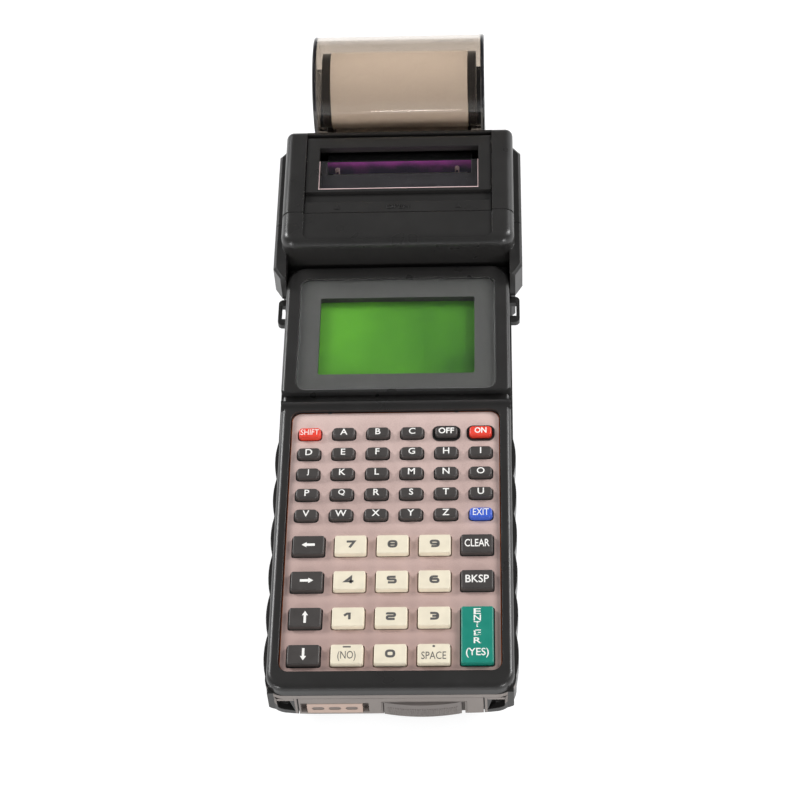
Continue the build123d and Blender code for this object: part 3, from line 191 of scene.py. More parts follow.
# ---------------------------------------------------------------- finishes
MIDDLE = {"From Min": 0.35, "From Max": 0.65}     # the band in which most of a noise lies
BROAD = {"From Min": 0.2, "From Max": 0.8}        # a wider band, for softer changes
COLOURS = {"data_type": "RGBA"}                   # a Mix of colours: fac is input 0, they are 6 and 7, result is 2
MOULDINGS = {
    # name: (colour, roughness, grain across in mm, grain depth in mm, softened edge in mm, clouds across in mm,
    #        strength of the clouds, index of refraction)
    # spark-eroded ABS: near-black with a fine grain that breaks up the light along its rounded edges
    "charcoal_abs": ("case", 0.3, 0.6, 0.006, 0.4, 12.0, 0.08, 1.48),
    # double-shot ABS keys: matt tops with a very fine grain, the coloured ones a little glossier
    "key_charcoal_abs": ("key_charcoal", 0.42, 0.3, 0.012, 0.0, 5.0, 0.07, 1.52),
    "key_cream_abs": ("key_cream", 0.42, 0.3, 0.012, 0.0, 5.0, 0.07, 1.52),
    "key_green_abs": ("key_green", 0.36, 0.3, 0.012, 0.0, 5.0, 0.07, 1.52),
    "key_blue_abs": ("key_blue", 0.36, 0.3, 0.012, 0.0, 5.0, 0.07, 1.52),
    "key_red_abs": ("key_red", 0.36, 0.3, 0.012, 0.0, 5.0, 0.07, 1.52),
    # back-printed border of the lens: flat dark grey
    "lens_border": ("mask", 0.5, 0.4, 0.004, 0.0, 20.0, 0.05, 1.5),
    # coarsely textured grey moulding of the battery end
    "grey_moulding": ("grey_end", 0.58, 0.7, 0.05, 0.3, 12.0, 0.1, 1.5),
    # darker grey thumb latch, polished on its ribs
    "latch_moulding": ("latch", 0.45, 0.5, 0.03, 0.15, 12.0, 0.15, 1.5),
    # beige insulating strip round the contacts
    "beige_moulding": ("beige", 0.5, 0.5, 0.015, 0.15, 12.0, 0.06, 1.5),
    # moulded nitrile rubber: black, matt, faintly dusty
    "black_rubber": ("#1C1C1C", 0.7, 0.6, 0.03, 0.3, 12.0, 0.25, 1.52),
    # ground rubber of the feed roller: even, dark and matt
    "ground_rubber": ("#262626", 0.75, 0.25, 0.02, 0.0, 12.0, 0.12, 1.5),
    # natural acetal gears: creamy white with a waxy gloss
    "natural_acetal": ("#DAD6C8", 0.3, 0.8, 0.006, 0.08, 12.0, 0.05, 1.48),
    # plain black moulding of the cassette, the carriage and the roll's core
    "black_moulding": ("#1B1A1C", 0.4, 0.5, 0.015, 0.2, 12.0, 0.16, 1.5),
    # cut edges of clear polycarbonate and the curled ends of the ribbon's film, painted near white as highlights where
    # light gathers
    "lit_edge": ("#F0D2D0", 0.25, 1.2, 0.01, 0.0, 12.0, 0.16, 1.5),
    # smoke polycarbonate seen edge on: black and glossy
    "smoke_edge": ("#1B191C", 0.12, 2.0, 0.004, 0.2, 12.0, 0.16, 1.5),
    # dark skirts in the key slots, black and brown: painted shade down in the slots. The black also colours the power
    # keys' collars and the walls of the display well
    "skirt_black": ("#151413", 0.45, 0.4, 0.01, 0.0, 12.0, 0.16, 1.5),
    "skirt_brown": ("#5A4433", 0.55, 0.4, 0.01, 0.0, 12.0, 0.16, 1.5),
}
METALS = {
    # name: (colour, roughness, streaks across in mm, axis along them)
    # nickel-plated spring contact, dulled by wear
    "nickel_contact": ("#8A7F79", 0.42, 0.4, 0),
    # zinc-plated screw, turned bright
    "zinc_screw": ("#A9ABA9", 0.35, 0.3, 2),
    # cold-rolled steel chassis with rolling marks
    "pressed_steel": ("#8E9090", 0.38, 0.6, 1),
    # centreless-ground steel rod: narrow bright highlights along its length
    "ground_rod": ("#C4C6C5", 0.16, 0.3, 0),
    # drawn and zinc-plated motor can
    "motor_can": ("#9B9D9C", 0.3, 0.5, 0),
    # bare edge of the pressed plate, tarnished like bronze
    "bronze_edge": ("#B5643C", 0.4, 0.5, 0),
}
CLEAR_PLASTICS = {
    # name: (tint, roughness, index of refraction, haze across in mm, what it lets lamps pass)
    # hard-coated acrylic: nearly colourless, sharp reflections
    "lens_acrylic": ((0.96, 0.97, 0.96, 1.0), 0.02, 1.49, 18.0, (0.92, 0.93, 0.92, 1.0)),
    # clear polycarbonate, scuffed by years of fingers
    "pane_polycarbonate": ((0.93, 0.91, 0.92, 1.0), 0.01, 1.5, 6.0, (0.86, 0.84, 0.86, 1.0)),
    # smoke-tinted polycarbonate: warm grey-brown where it is looked through
    "smoke_polycarbonate": ("smoke", 0.02, 1.5, 18.0, (0.74, 0.68, 0.62, 1.0)),
}


def chosen(colours, code):
    """A colour given as a property's name, as a hex code, or as linear values."""
    if not isinstance(code, str):
        return code
    return linear(code) if code.startswith("#") else list(getattr(colours, code))


def moulded(name, colours):
    """An injection moulding: fine grain, slight clouding of colour and gloss, softened edges."""
    code, roughness, grain_mm, depth_mm, edge_mm, cloud_mm, cloud, ior = MOULDINGS[name]
    base = chosen(colours, code)
    material, tree, shader, place = start_material(name, roughness, ior=ior)
    clouds = add(tree, "ShaderNodeTexNoise", {}, {"Vector": place, "Scale": 1 / (cloud_mm * MM)}).outputs["Fac"]
    tint = add(tree, "ShaderNodeMapRange", {}, {"Value": clouds, **BROAD}).outputs["Result"]
    mixed = add(tree, "ShaderNodeMix", COLOURS, {0: tint, 6: shade(base, 1 - cloud), 7: shade(base, 1 + cloud)})
    tree.links.new(mixed.outputs[2], shader.inputs["Base Color"])
    gloss = add(tree, "ShaderNodeMapRange", {}, {"Value": clouds, **BROAD, "To Min": roughness - 0.05,
                                                 "To Max": roughness + 0.07})
    tree.links.new(gloss.outputs["Result"], shader.inputs["Roughness"])
    grain = add(tree, "ShaderNodeTexNoise", {}, {"Vector": place, "Scale": 1 / (grain_mm * MM)})
    relief(tree, shader, grain.outputs["Fac"], depth_mm, edge_mm)
    return material


def metal(name, colours):
    """Bare metal with fine streaks along one axis."""
    code, roughness, streak_mm, along = METALS[name]
    base = chosen(colours, code)
    material, tree, shader, place = start_material(name, roughness, metallic=1.0)
    stretch = [1.0, 1.0, 1.0]
    stretch[along] = 0.05
    mapped = add(tree, "ShaderNodeMapping", {}, {"Vector": place, "Scale": stretch}).outputs["Vector"]
    streaks = add(tree, "ShaderNodeTexNoise", {}, {"Vector": mapped, "Scale": 1 / (streak_mm * MM),
                                                   "Detail": 3.0}).outputs["Fac"]
    tint = add(tree, "ShaderNodeMapRange", {}, {"Value": streaks, **MIDDLE}).outputs["Result"]
    mixed = add(tree, "ShaderNodeMix", COLOURS, {0: tint, 6: shade(base, 0.82), 7: base})
    tree.links.new(mixed.outputs[2], shader.inputs["Base Color"])
    gloss = add(tree, "ShaderNodeMapRange", {}, {"Value": streaks, **MIDDLE, "To Min": roughness - 0.08,
                                                 "To Max": roughness + 0.12})
    tree.links.new(gloss.outputs["Result"], shader.inputs["Roughness"])
    relief(tree, shader, streaks, 0.004, 0.1)
    return material


def clear_plastic(name, colours):
    """Clear moulded plastic, with a faint haze of fine scratches. Lamps reach what is behind it."""
    tint, roughness, ior, haze_mm, passes = CLEAR_PLASTICS[name]
    material, tree, shader, place = start_material(name, roughness, ior=ior)
    shader.inputs["Base Color"].default_value = chosen(colours, tint)
    shader.inputs["Transmission Weight"].default_value = 1.0
    haze = add(tree, "ShaderNodeTexNoise", {}, {"Vector": place, "Scale": 1 / (haze_mm * MM), "Detail": 5.0})
    scuffs = add(tree, "ShaderNodeMapRange", {}, {"Value": haze.outputs["Fac"], "From Min": 0.5, "From Max": 0.8,
                                                  "To Min": roughness, "To Max": roughness + 0.03})
    tree.links.new(scuffs.outputs["Result"], shader.inputs["Roughness"])
    rays = add(tree, "ShaderNodeLightPath")
    clear = add(tree, "ShaderNodeBsdfTransparent", {}, {"Color": passes})
    mix = add(tree, "ShaderNodeMixShader", {}, {0: rays.outputs["Is Shadow Ray"], 1: shader.outputs["BSDF"],
                                                2: clear.outputs["BSDF"]})
    tree.links.new(mix.outputs["Shader"], tree.nodes["Material Output"].inputs["Surface"])
    return material


def painted_plate(name, colours):
    """Metallic mauve paint on pressed aluminium: fine flecks, rubbed patches, and painted shade that darkens the plate
    towards its battery end.
    """
    material, tree, shader, place = start_material(name, 0.42, metallic=0.2)
    flecks = add(tree, "ShaderNodeTexNoise", {}, {"Vector": place, "Scale": 1 / (0.35 * MM),
                                                  "Detail": 1.0}).outputs["Fac"]
    rubbed = add(tree, "ShaderNodeTexNoise", {}, {"Vector": place, "Scale": 1 / (22.0 * MM),
                                                  "Detail": 3.0}).outputs["Fac"]
    speckle = add(tree, "ShaderNodeMapRange", {}, {"Value": flecks, "From Min": 0.3, "From Max": 0.7, "To Min": 0.1,
                                                   "To Max": 0.9}).outputs["Result"]
    base = add(tree, "ShaderNodeMix", COLOURS, {0: speckle, 6: list(colours.plate_dark), 7: list(colours.plate)})
    wear = add(tree, "ShaderNodeMapRange", {}, {"Value": rubbed, **MIDDLE, "To Max": 0.45}).outputs["Result"]
    base = add(tree, "ShaderNodeMix", COLOURS, {0: wear, 6: base.outputs[2], 7: list(colours.plate)})
    # painted shade: the plate is mixed towards a darker colour along Y, darkest at its battery end
    low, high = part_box("keypad_plate")
    along = add(tree, "ShaderNodeSeparateXYZ", {}, {"Vector": place}).outputs["Y"]
    painted_shade = add(tree, "ShaderNodeMapRange", {}, {"Value": along, "From Min": low.y, "From Max": high.y, "To Min": 1.0,
                                                   "To Max": 0.0}).outputs["Result"]
    base = add(tree, "ShaderNodeMix", COLOURS, {0: painted_shade, 6: base.outputs[2], 7: list(colours.plate_painted_shade)})
    tree.links.new(base.outputs[2], shader.inputs["Base Color"])
    gloss = add(tree, "ShaderNodeMapRange", {}, {"Value": rubbed, **MIDDLE, "To Min": 0.38, "To Max": 0.5})
    tree.links.new(gloss.outputs["Result"], shader.inputs["Roughness"])
    relief(tree, shader, flecks, 0.004)
    return material


def printed_ink(name, colours):
    """Screen-printed ink: flat and slightly rough, thin where it is rubbed."""
    base = list(getattr(colours, name))
    material, tree, shader, place = start_material(name, 0.55)
    rub = add(tree, "ShaderNodeTexNoise", {}, {"Vector": place, "Scale": 1 / (0.6 * MM), "Detail": 3.0}).outputs["Fac"]
    wear = add(tree, "ShaderNodeMapRange", {}, {"Value": rub, **MIDDLE, "To Max": 0.35}).outputs["Result"]
    mixed = add(tree, "ShaderNodeMix", COLOURS, {0: wear, 6: base, 7: shade(base, 0.8)})
    tree.links.new(mixed.outputs[2], shader.inputs["Base Color"])
    relief(tree, shader, rub, 0.005)
    return material


def worn_ink(name, colours):
    """White ink rubbed through in patches to the green of the key."""
    material, tree, shader, place = start_material(name, 0.5)
    rub = add(tree, "ShaderNodeTexNoise", {}, {"Vector": place, "Scale": 1 / (0.7 * MM)}).outputs["Fac"]
    wear = add(tree, "ShaderNodeMapRange", {}, {"Value": rub, "From Min": 0.42, "From Max": 0.5}).outputs["Result"]
    mixed = add(tree, "ShaderNodeMix", COLOURS, {0: wear, 6: list(colours.key_green), 7: list(colours.ink_white)})
    tree.links.new(mixed.outputs[2], shader.inputs["Base Color"])
    return material


def liquid_crystal(name, colours):
    """Green liquid crystal behind glass: painted lighter towards the left and darker as painted shade towards the
    right, with a faint grid of dots.
    """
    material, tree, shader, place = start_material(name, 0.3, ior=1.5)
    low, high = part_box("lcd_panel")
    # painted light and shade: lighter on the left, darker towards the right
    across = add(tree, "ShaderNodeSeparateXYZ", {}, {"Vector": place}).outputs["X"]
    fade = add(tree, "ShaderNodeMapRange", {}, {"Value": across, "From Min": low.x, "From Max": high.x})
    clouds = add(tree, "ShaderNodeTexNoise", {}, {"Vector": place, "Scale": 1 / (26.0 * MM)}).outputs["Fac"]
    drift = add(tree, "ShaderNodeMapRange", {}, {"Value": clouds, **MIDDLE, "To Min": -0.18, "To Max": 0.18})
    fade = add(tree, "ShaderNodeMath", {"operation": "ADD", "use_clamp": True},
               {0: fade.outputs["Result"], 1: drift.outputs["Result"]}).outputs["Value"]
    base = add(tree, "ShaderNodeMix", COLOURS, {0: fade, 6: list(colours.display), 7: list(colours.display_shade_and_dots)})
    # dots of a real panel are 0.4 mm apart; the grid is drawn at 1.2 mm so that it does not flicker
    dots = add(tree, "ShaderNodeTexChecker", {}, {"Vector": place, "Scale": 1 / (1.2 * MM)}).outputs["Fac"]
    faint = add(tree, "ShaderNodeMapRange", {}, {"Value": dots, "To Max": 0.06}).outputs["Result"]
    base = add(tree, "ShaderNodeMix", COLOURS, {0: faint, 6: base.outputs[2], 7: list(colours.display_shade_and_dots)})
    tree.links.new(base.outputs[2], shader.inputs["Base Color"])
    return material


def circuit_board(name, colours):
    """Glass-epoxy board: green solder mask over copper tracks."""
    material, tree, shader, place = start_material(name, 0.3, coat=0.3)
    bricks = add(tree, "ShaderNodeTexBrick", {"offset": 0.5, "squash": 1.0}, {
        "Vector": place, "Scale": 1 / (14.0 * MM), "Mortar Size": 0.03, "Color1": linear("#0E4A2C"),
        "Color2": linear("#11502F"), "Mortar": linear("#2C7A4C"),
    })
    tree.links.new(bricks.outputs["Color"], shader.inputs["Base Color"])
    relief(tree, shader, bricks.outputs["Fac"], 0.03)
    return material


def inked_nylon(name, colours):
    """Woven nylon ribbon soaked with purple ink: painted lighter magenta along its upper edge as painted light, an oily
    sheen over a fine weave.
    """
    material, tree, shader, place = start_material(name, 0.34, coat=0.2)
    shader.inputs["Sheen Weight"].default_value = 0.3
    low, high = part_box("ink_ribbon")
    # threads are 0.1 mm apart; the weave is drawn at 0.6 mm so that it shows
    across = add(tree, "ShaderNodeTexWave", {"wave_type": "BANDS", "bands_direction": "X"},
                 {"Vector": place, "Scale": 1 / (6 * 0.6 * MM), "Distortion": 0.3})
    rise = add(tree, "ShaderNodeSeparateXYZ", {}, {"Vector": place}).outputs["Z"]
    blots = add(tree, "ShaderNodeTexNoise", {}, {"Vector": place, "Scale": 1 / (7.0 * MM), "Detail": 3.0})
    soaked = add(tree, "ShaderNodeMapRange", {}, {"Value": blots.outputs["Fac"], **MIDDLE, "To Min": -0.25,
                                                  "To Max": 0.25})
    # painted light: the ribbon turns lighter magenta towards its upper edge
    upper = add(tree, "ShaderNodeMapRange", {}, {"Value": rise, "From Min": low.z + 1.5 * MM, "From Max": high.z})
    fresh = add(tree, "ShaderNodeMath", {"operation": "ADD", "use_clamp": True},
                {0: upper.outputs["Result"], 1: soaked.outputs["Result"]}).outputs["Value"]
    mixed = add(tree, "ShaderNodeMix", COLOURS, {0: fresh, 6: list(colours.ribbon), 7: list(colours.ribbon_lit)})
    tree.links.new(mixed.outputs[2], shader.inputs["Base Color"])
    relief(tree, shader, across.outputs["Fac"], 0.02)
    return material


def roll_paper(name, colours):
    """Uncoated roll paper: faint fibres, and the turns of the roll as rings on its ends."""
    material, tree, shader, place = start_material(name, 0.85)
    low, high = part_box("paper_roll")
    middle = (low + high) / 2
    centred = add(tree, "ShaderNodeVectorMath", {"operation": "SUBTRACT"}, {0: place, 1: middle}).outputs["Vector"]
    # paper is 0.07 mm thick; the rings are drawn at 0.6 mm so that they show
    rings = add(tree, "ShaderNodeTexWave", {"wave_type": "RINGS", "rings_direction": "X"},
                {"Vector": centred, "Scale": 1 / (6 * 0.6 * MM), "Distortion": 0.6, "Detail": 1.0})
    fibres = add(tree, "ShaderNodeTexNoise", {}, {"Vector": place, "Scale": 1 / (1.2 * MM),
                                                  "Detail": 5.0}).outputs["Fac"]
    flock = add(tree, "ShaderNodeMapRange", {}, {"Value": fibres, **MIDDLE}).outputs["Result"]
    base = add(tree, "ShaderNodeMix", COLOURS, {0: flock, 6: shade(colours.paper, 0.94), 7: list(colours.paper)})
    turns = add(tree, "ShaderNodeMapRange", {}, {"Value": rings.outputs["Fac"], "To Max": 0.25}).outputs["Result"]
    base = add(tree, "ShaderNodeMix", COLOURS, {0: turns, 6: base.outputs[2], 7: shade(colours.paper, 0.8)})
    tree.links.new(base.outputs[2], shader.inputs["Base Color"])
    relief(tree, shader, fibres, 0.01)
    return material


MAKERS = {
    "painted_plate": painted_plate, "liquid_crystal": liquid_crystal, "circuit_board": circuit_board,
    "inked_nylon": inked_nylon, "roll_paper": roll_paper, "ink_white": printed_ink, "ink_grey": printed_ink,
    "worn_ink": worn_ink,
}
for _names, _maker in ((MOULDINGS, moulded), (METALS, metal), (CLEAR_PLASTICS, clear_plastic)):
    MAKERS.update(dict.fromkeys(_names, _maker))
SLOT_FINISHES = {
    # material slot of the solids: finish
    "charcoal_case": "charcoal_abs", "mauve_metal": "painted_plate", "key_charcoal": "key_charcoal_abs",
    "key_cream": "key_cream_abs", "key_green": "key_green_abs", "key_blue": "key_blue_abs",
    "key_red": "key_red_abs", "key_rubber": "black_rubber", "clear_lens": "lens_acrylic",
    "display_glass": "liquid_crystal", "circuit_board": "circuit_board", "grey_end": "grey_moulding",
    "latch_plastic": "latch_moulding", "beige_plastic": "beige_moulding", "contact_metal": "nickel_contact",
    "zinc_steel": "zinc_screw", "foot_rubber": "black_rubber", "clear_pane": "pane_polycarbonate",
    "cassette_black": "black_moulding", "ribbon_purple": "inked_nylon", "frame_steel": "pressed_steel",
    "head_plastic": "black_moulding", "ground_steel": "ground_rod", "roller_rubber": "ground_rubber",
    "gear_plastic": "natural_acetal", "motor_steel": "motor_can", "paper": "roll_paper",
    "core_black": "black_moulding", "smoke_cover": "smoke_polycarbonate",
}
FINISHES = {}


# ---------------------------------------------------------------- mesh helpers
def make_piece(name, mesh_data, finish, body):
    """Turns a bmesh into a piece that rides on a body."""
    bmesh.ops.remove_doubles(mesh_data, verts=mesh_data.verts, dist=0.002 * MM)
    bmesh.ops.dissolve_degenerate(mesh_data, edges=mesh_data.edges, dist=0.001 * MM)
    bmesh.ops.recalc_face_normals(mesh_data, faces=mesh_data.faces)
    mesh = bpy.data.meshes.new(name)
    mesh_data.to_mesh(mesh)
    mesh_data.free()
    mesh.materials.append(FINISHES[finish])
    piece = bpy.data.objects.new(name, mesh)
    bpy.context.scene.collection.objects.link(piece)
    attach(piece, body)
    return piece


def loft(mesh_data, rings, close_path=False, caps=True):
    """Joins rings of equally many points with quads."""
    loops = [[mesh_data.verts.new(point) for point in ring] for ring in rings]
    count = len(loops[0])
    pairs = list(zip(loops, loops[1:] + loops[:1])) if close_path else list(zip(loops, loops[1:]))
    for first, second in pairs:
        for i in range(count):
            j = (i + 1) % count
            mesh_data.faces.new((first[i], first[j], second[j], second[i]))
    if caps and not close_path:
        mesh_data.faces.new(list(reversed(loops[0])))
        mesh_data.faces.new(loops[-1])


def rounded_outline(width, depth, radius, x, y, z, steps=6):
    """Points round a rectangle with rounded corners, flat at height z."""
    points = []
    for quarter, (sx, sy) in enumerate(((1, 1), (-1, 1), (-1, -1), (1, -1))):
        centre_x = x + sx * (width / 2 - radius)
        centre_y = y + sy * (depth / 2 - radius)
        for step in range(steps + 1):
            angle = (quarter + step / steps) * pi / 2
            points.append((centre_x + radius * cos(angle), centre_y + radius * sin(angle), z))
    return points


def rounded_flat(x, y, width, depth, radius, steps=3):
    """Flat (x, y) points of a rounded rectangle."""
    return [point[:2] for point in rounded_outline(width, depth, radius, x, y, 0.0, steps)]


def prism(mesh_data, outline, z0, z1):
    """A straight-sided solid over a flat outline of (x, y) points."""
    loft(mesh_data, [[(x, y, z) for x, y in outline] for z in (z0, z1)])


def words_into(mesh_data, words, place, height, thick, width=None, weight=0.0):
    """Adds words, lying face up and centred on place, with the given overall height."""
    outline = bpy.data.curves.new("words", "FONT")
    outline.body = words
    outline.resolution_u = 3
    outline.offset = weight
    outline.extrude = 0.5
    holder = bpy.data.objects.new("words", outline)
    bpy.context.scene.collection.objects.link(holder)
    mesh = bpy.data.meshes.new_from_object(holder.evaluated_get(bpy.context.evaluated_depsgraph_get()))
    xs = [v.co.x for v in mesh.vertices]
    ys = [v.co.y for v in mesh.vertices]
    scale_y = height / (max(ys) - min(ys))
    scale_x = width / (max(xs) - min(xs)) if width else scale_y
    middle = ((max(xs) + min(xs)) / 2, (max(ys) + min(ys)) / 2)
    for vertex in mesh.vertices:
        vertex.co = ((vertex.co.x - middle[0]) * scale_x + place[0],
                     (vertex.co.y - middle[1]) * scale_y + place[1],
                     place[2] + (thick if vertex.co.z > 0 else 0.0))
    mesh_data.from_mesh(mesh)
    bpy.data.objects.remove(holder)
    bpy.data.curves.remove(outline)
    bpy.data.meshes.remove(mesh)


def arrow_into(mesh_data, place, sizes, direction):
    """Adds an arrow that points along direction, centred on place."""
    upright = direction[0] == 0
    half = sizes.arrow_length / 2 * (UPRIGHT_LENGTH if upright else 1.0)
    head = sizes.arrow_width / 2
    shaft = sizes.arrow_shaft / 2 * (UPRIGHT_SHAFT if upright else 1.0)
    neck = half - HEAD_SLOPE * head
    outline = [(-half, -shaft), (neck, -shaft), (neck, -head), (half, 0.0), (neck, head), (neck, shaft),
               (-half, shaft)]
    dx, dy = direction
    turned = [(place[0] + u * dx - v * dy, place[1] + u * dy + v * dx) for u, v in outline]
    prism(mesh_data, turned, place[2], place[2] + sizes.ink)


def bar_into(mesh_data, place, width, depth, thick):
    """Adds a small printed bar or dot, centred on place."""
    x, y, z = place
    outline = [(x - width / 2, y - depth / 2), (x + width / 2, y - depth / 2),
               (x + width / 2, y + depth / 2), (x - width / 2, y + depth / 2)]
    prism(mesh_data, outline, z, z + thick)


def rounded_path(corners, radius, closed=False, steps=4):
    """The path through some corners, with each bend rounded off."""
    count = len(corners)
    path = []
    for index, corner in enumerate(corners):
        if not closed and index in (0, count - 1):
            path.append(corner)
            continue
        corner = Vector(corner)
        before = Vector(corners[index - 1]) - corner
        after = Vector(corners[(index + 1) % count]) - corner
        reach = min(radius, before.length / 2.01, after.length / 2.01)
        start = corner + before.normalized() * reach
        end = corner + after.normalized() * reach
        for step in range(steps + 1):
            t = step / steps
            path.append(tuple(start * (1 - t) ** 2 + corner * 2 * t * (1 - t) + end * t ** 2))
    return path


def stroke_into(mesh_data, path, width, z, thick, closed=False):
    """Adds a stroke of even width along a flat path, with mitred bends."""
    count = len(path)
    sides = ([], [])
    for index, point in enumerate(path):
        point = Vector(point)
        normals = []
        if closed or index > 0:
            normals.append((point - Vector(path[index - 1])).orthogonal().normalized())
        if closed or index < count - 1:
            normals.append((Vector(path[(index + 1) % count]) - point).orthogonal().normalized())
        middle = sum(normals, Vector((0, 0))).normalized()
        reach = width / 2 / max(middle.dot(normals[0]), 0.4)
        for side, sign in zip(sides, (1, -1)):
            side.append(tuple(point + middle * reach * sign))
    if closed:
        loft(mesh_data, [[(x, y, z + rise) for x, y in side]
                         for side, rise in ((sides[0], 0.0), (sides[0], thick), (sides[1], thick), (sides[1], 0.0))],
             close_path=True)
    else:
        prism(mesh_data, sides[0] + sides[1][::-1], z, z + thick)


def ring_into(mesh_data, x, y, inner, outer, corner, z0, z1):
    """Adds a rounded rectangular ring between an inner and an outer (width, depth)."""
    wide = corner + (outer[0] - inner[0]) / 2
    loft(mesh_data, [rounded_outline(*outer, wide, x, y, z0), rounded_outline(*outer, wide, x, y, z1),
                     rounded_outline(*inner, corner, x, y, z1), rounded_outline(*inner, corner, x, y, z0)],
         close_path=True)


def grown(size, by):
    """A (width, depth) that grows by so much on every side."""
    return size[0] + 2 * by, size[1] + 2 * by


def key_places(node):
    """Middle of the top of each key of a node, and the size of their caps."""
    low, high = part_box(node)
    y = (low.y + high.y) / 2
    if node not in ROW_LETTERS:
        return [(low.x + high.x) / 2], y, high.z, (high.x - low.x - 2 * FLANGE, high.y - low.y - 2 * FLANGE)
    single_low, single_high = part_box("key_exit")
    width = single_high.x - single_low.x
    count = len(ROW_LETTERS[node])
    pitch = (high.x - low.x - width) / (count - 1)
    places = [low.x + width / 2 + index * pitch for index in range(count)]
    return places, y, high.z, (width - 2 * FLANGE, high.y - low.y - 2 * FLANGE)


def top_of(node):
    """Middle of a node's top."""
    low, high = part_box(node)
    return Vector(((low.x + high.x) / 2, (low.y + high.y) / 2, high.z))


def body_of(node):
    """The body that carries a key, or a row of keys."""
    return "button_" + node.removeprefix("key_")


def dress(nodes):
    """Gives solids the finish of their material slots."""
    for name in nodes:
        node = frame["nodes"][name]
        node.data.materials.clear()
        node.data.materials.append(FINISHES[SLOTS[name]])


END_HALF = 46.2 * MM          # half the width of the case's end
END_CORNER = 7.0 * MM         # its corners, in plan
RIM_PARTING = 19.5 * MM       # where the upper case begins
FLANGE = 0.85 * MM            # hidden flange of a key, beyond its cap
KEY_RISE = 2.0 * MM           # key tops above the plate
UPRIGHT_LENGTH = 1.03         # the upright arrows beside the level ones
UPRIGHT_SHAFT = 0.85
HEAD_SLOPE = 1.6              # an arrowhead's length beside half its width
SUNK = 0.02 * MM              # how far a piece stands off, or sinks into, what it lies on
DIGIT_PATHS = {
    # digit: strokes as (closed, corners), in a unit square of stroke middles
    0: [(True, [(0, 0), (1, 0), (1, 1), (0, 1)])],
    1: [(False, [(0.0, 0.66), (0.4, 1), (0.7, 1), (0.7, 0)])],
    2: [(False, [(0, 0.8), (0, 1), (1, 1), (1, 0.5), (0, 0.5), (0, 0), (1, 0)])],
    3: [(False, [(0, 1), (1, 1), (1, 0), (0, 0)]), (False, [(0.28, 0.5), (0.9, 0.5)])],
    4: [(False, [(1.08, 0.27), (0, 0.27), (0.72, 1), (0.72, -0.1)])],
    5: [(False, [(1, 1), (0, 1), (0, 0.54), (1, 0.54), (1, 0), (0, 0)])],
    6: [(False, [(0.95, 1), (0, 1), (0, 0), (1, 0), (1, 0.55), (0.1, 0.55)])],
    7: [(False, [(0, 1), (1, 1), (0.4, -0.1)])],
    8: [(True, [(0, 0), (1, 0), (1, 1), (0, 1)]), (False, [(0.1, 0.5), (0.9, 0.5)])],
    9: [(False, [(0.05, 0), (1, 0), (1, 1), (0, 1), (0, 0.45), (0.9, 0.45)])],
}
ROOM_LIGHT = 0.42             # the room on matt surfaces
ROOM_GLOSS = 0.15             # the room overhead, in gloss and in clear plastic
ROOM_BEHIND = 0.8             # the room near the horizon, in gloss and in clear plastic
FLOOR_HALF = 4.0              # half the floor's width, in metres
FLOOR_GLOW = 0.8              # the floor where it is seen, or mirrored in gloss
ROW_LETTERS = {
    "keys_a_to_c": "ABC", "keys_d_to_i": "DEFGHI", "keys_j_to_o": "JKLMNO", "keys_p_to_u": "PQRSTU",
    "keys_v_to_z": "VWXYZ",
}
WORD_KEYS = {
    # node: (words, width in mm, height in mm, weight of the strokes)
    "key_shift": ("SHIFT", 7.2, 2.6, 0.0), "key_off": ("OFF", 6.1, 2.8, 0.025), "key_on": ("ON", 4.7, 2.7, 0.025),
    "key_exit": ("EXIT", 6.1, 3.0, 0.0), "key_clear": ("CLEAR", 9.4, 3.4, 0.012),
    "key_bksp": ("BKSP", 8.8, 3.4, 0.012),
}
ARROW_KEYS = {"key_left": (-1, 0), "key_right": (1, 0), "key_up": (0, 1), "key_down": (0, -1)}
CASE_NODES = ["upper_case", "lower_case", "strap_eyes", "case_screws", "rubber_feet"]
KEYPAD_NODES = ["keypad_plate", "key_mat", "main_board"]
PRINTER_NODES = ["printer_front_housing", "printer_rear_housing", "ribbon_door", "door_window", "ribbon_cassette",
                 "ink_ribbon", "print_frame", "print_head", "steel_rods", "feed_roller", "idler_gear",
                 "motor_pinion", "feed_motor"]
PAPER_NODES = ["roll_cradle", "paper_roll", "roll_core", "paper_web", "paper_cover"]
BATTERY_NODES = ["battery_pack", "battery_latch", "contact_strip", "charge_contacts"]


# ---------------------------------------------------------------- operators
class TERMINAL_OT_finishes(bpy.types.Operator):
    """Make the finishes of all the mouldings, metals and inks"""
    bl_idname = "terminal.finishes"
    bl_label = "Finishes"

    def execute(self, context):
        colours = context.scene.terminal_colours
        made = {name: maker(name, colours) for name, maker in MAKERS.items()}
        FINISHES.update(made)
        FINISHES.update({slot: made[name] for slot, name in SLOT_FINISHES.items()})
        return {"FINISHED"}


class TERMINAL_OT_case(bpy.types.Operator):
    """Dress the two case shells, the strap eyes, the screws and the feet"""
    bl_idname = "terminal.case"
    bl_label = "Case"

    def execute(self, context):
        dress(CASE_NODES)
        return {"FINISHED"}


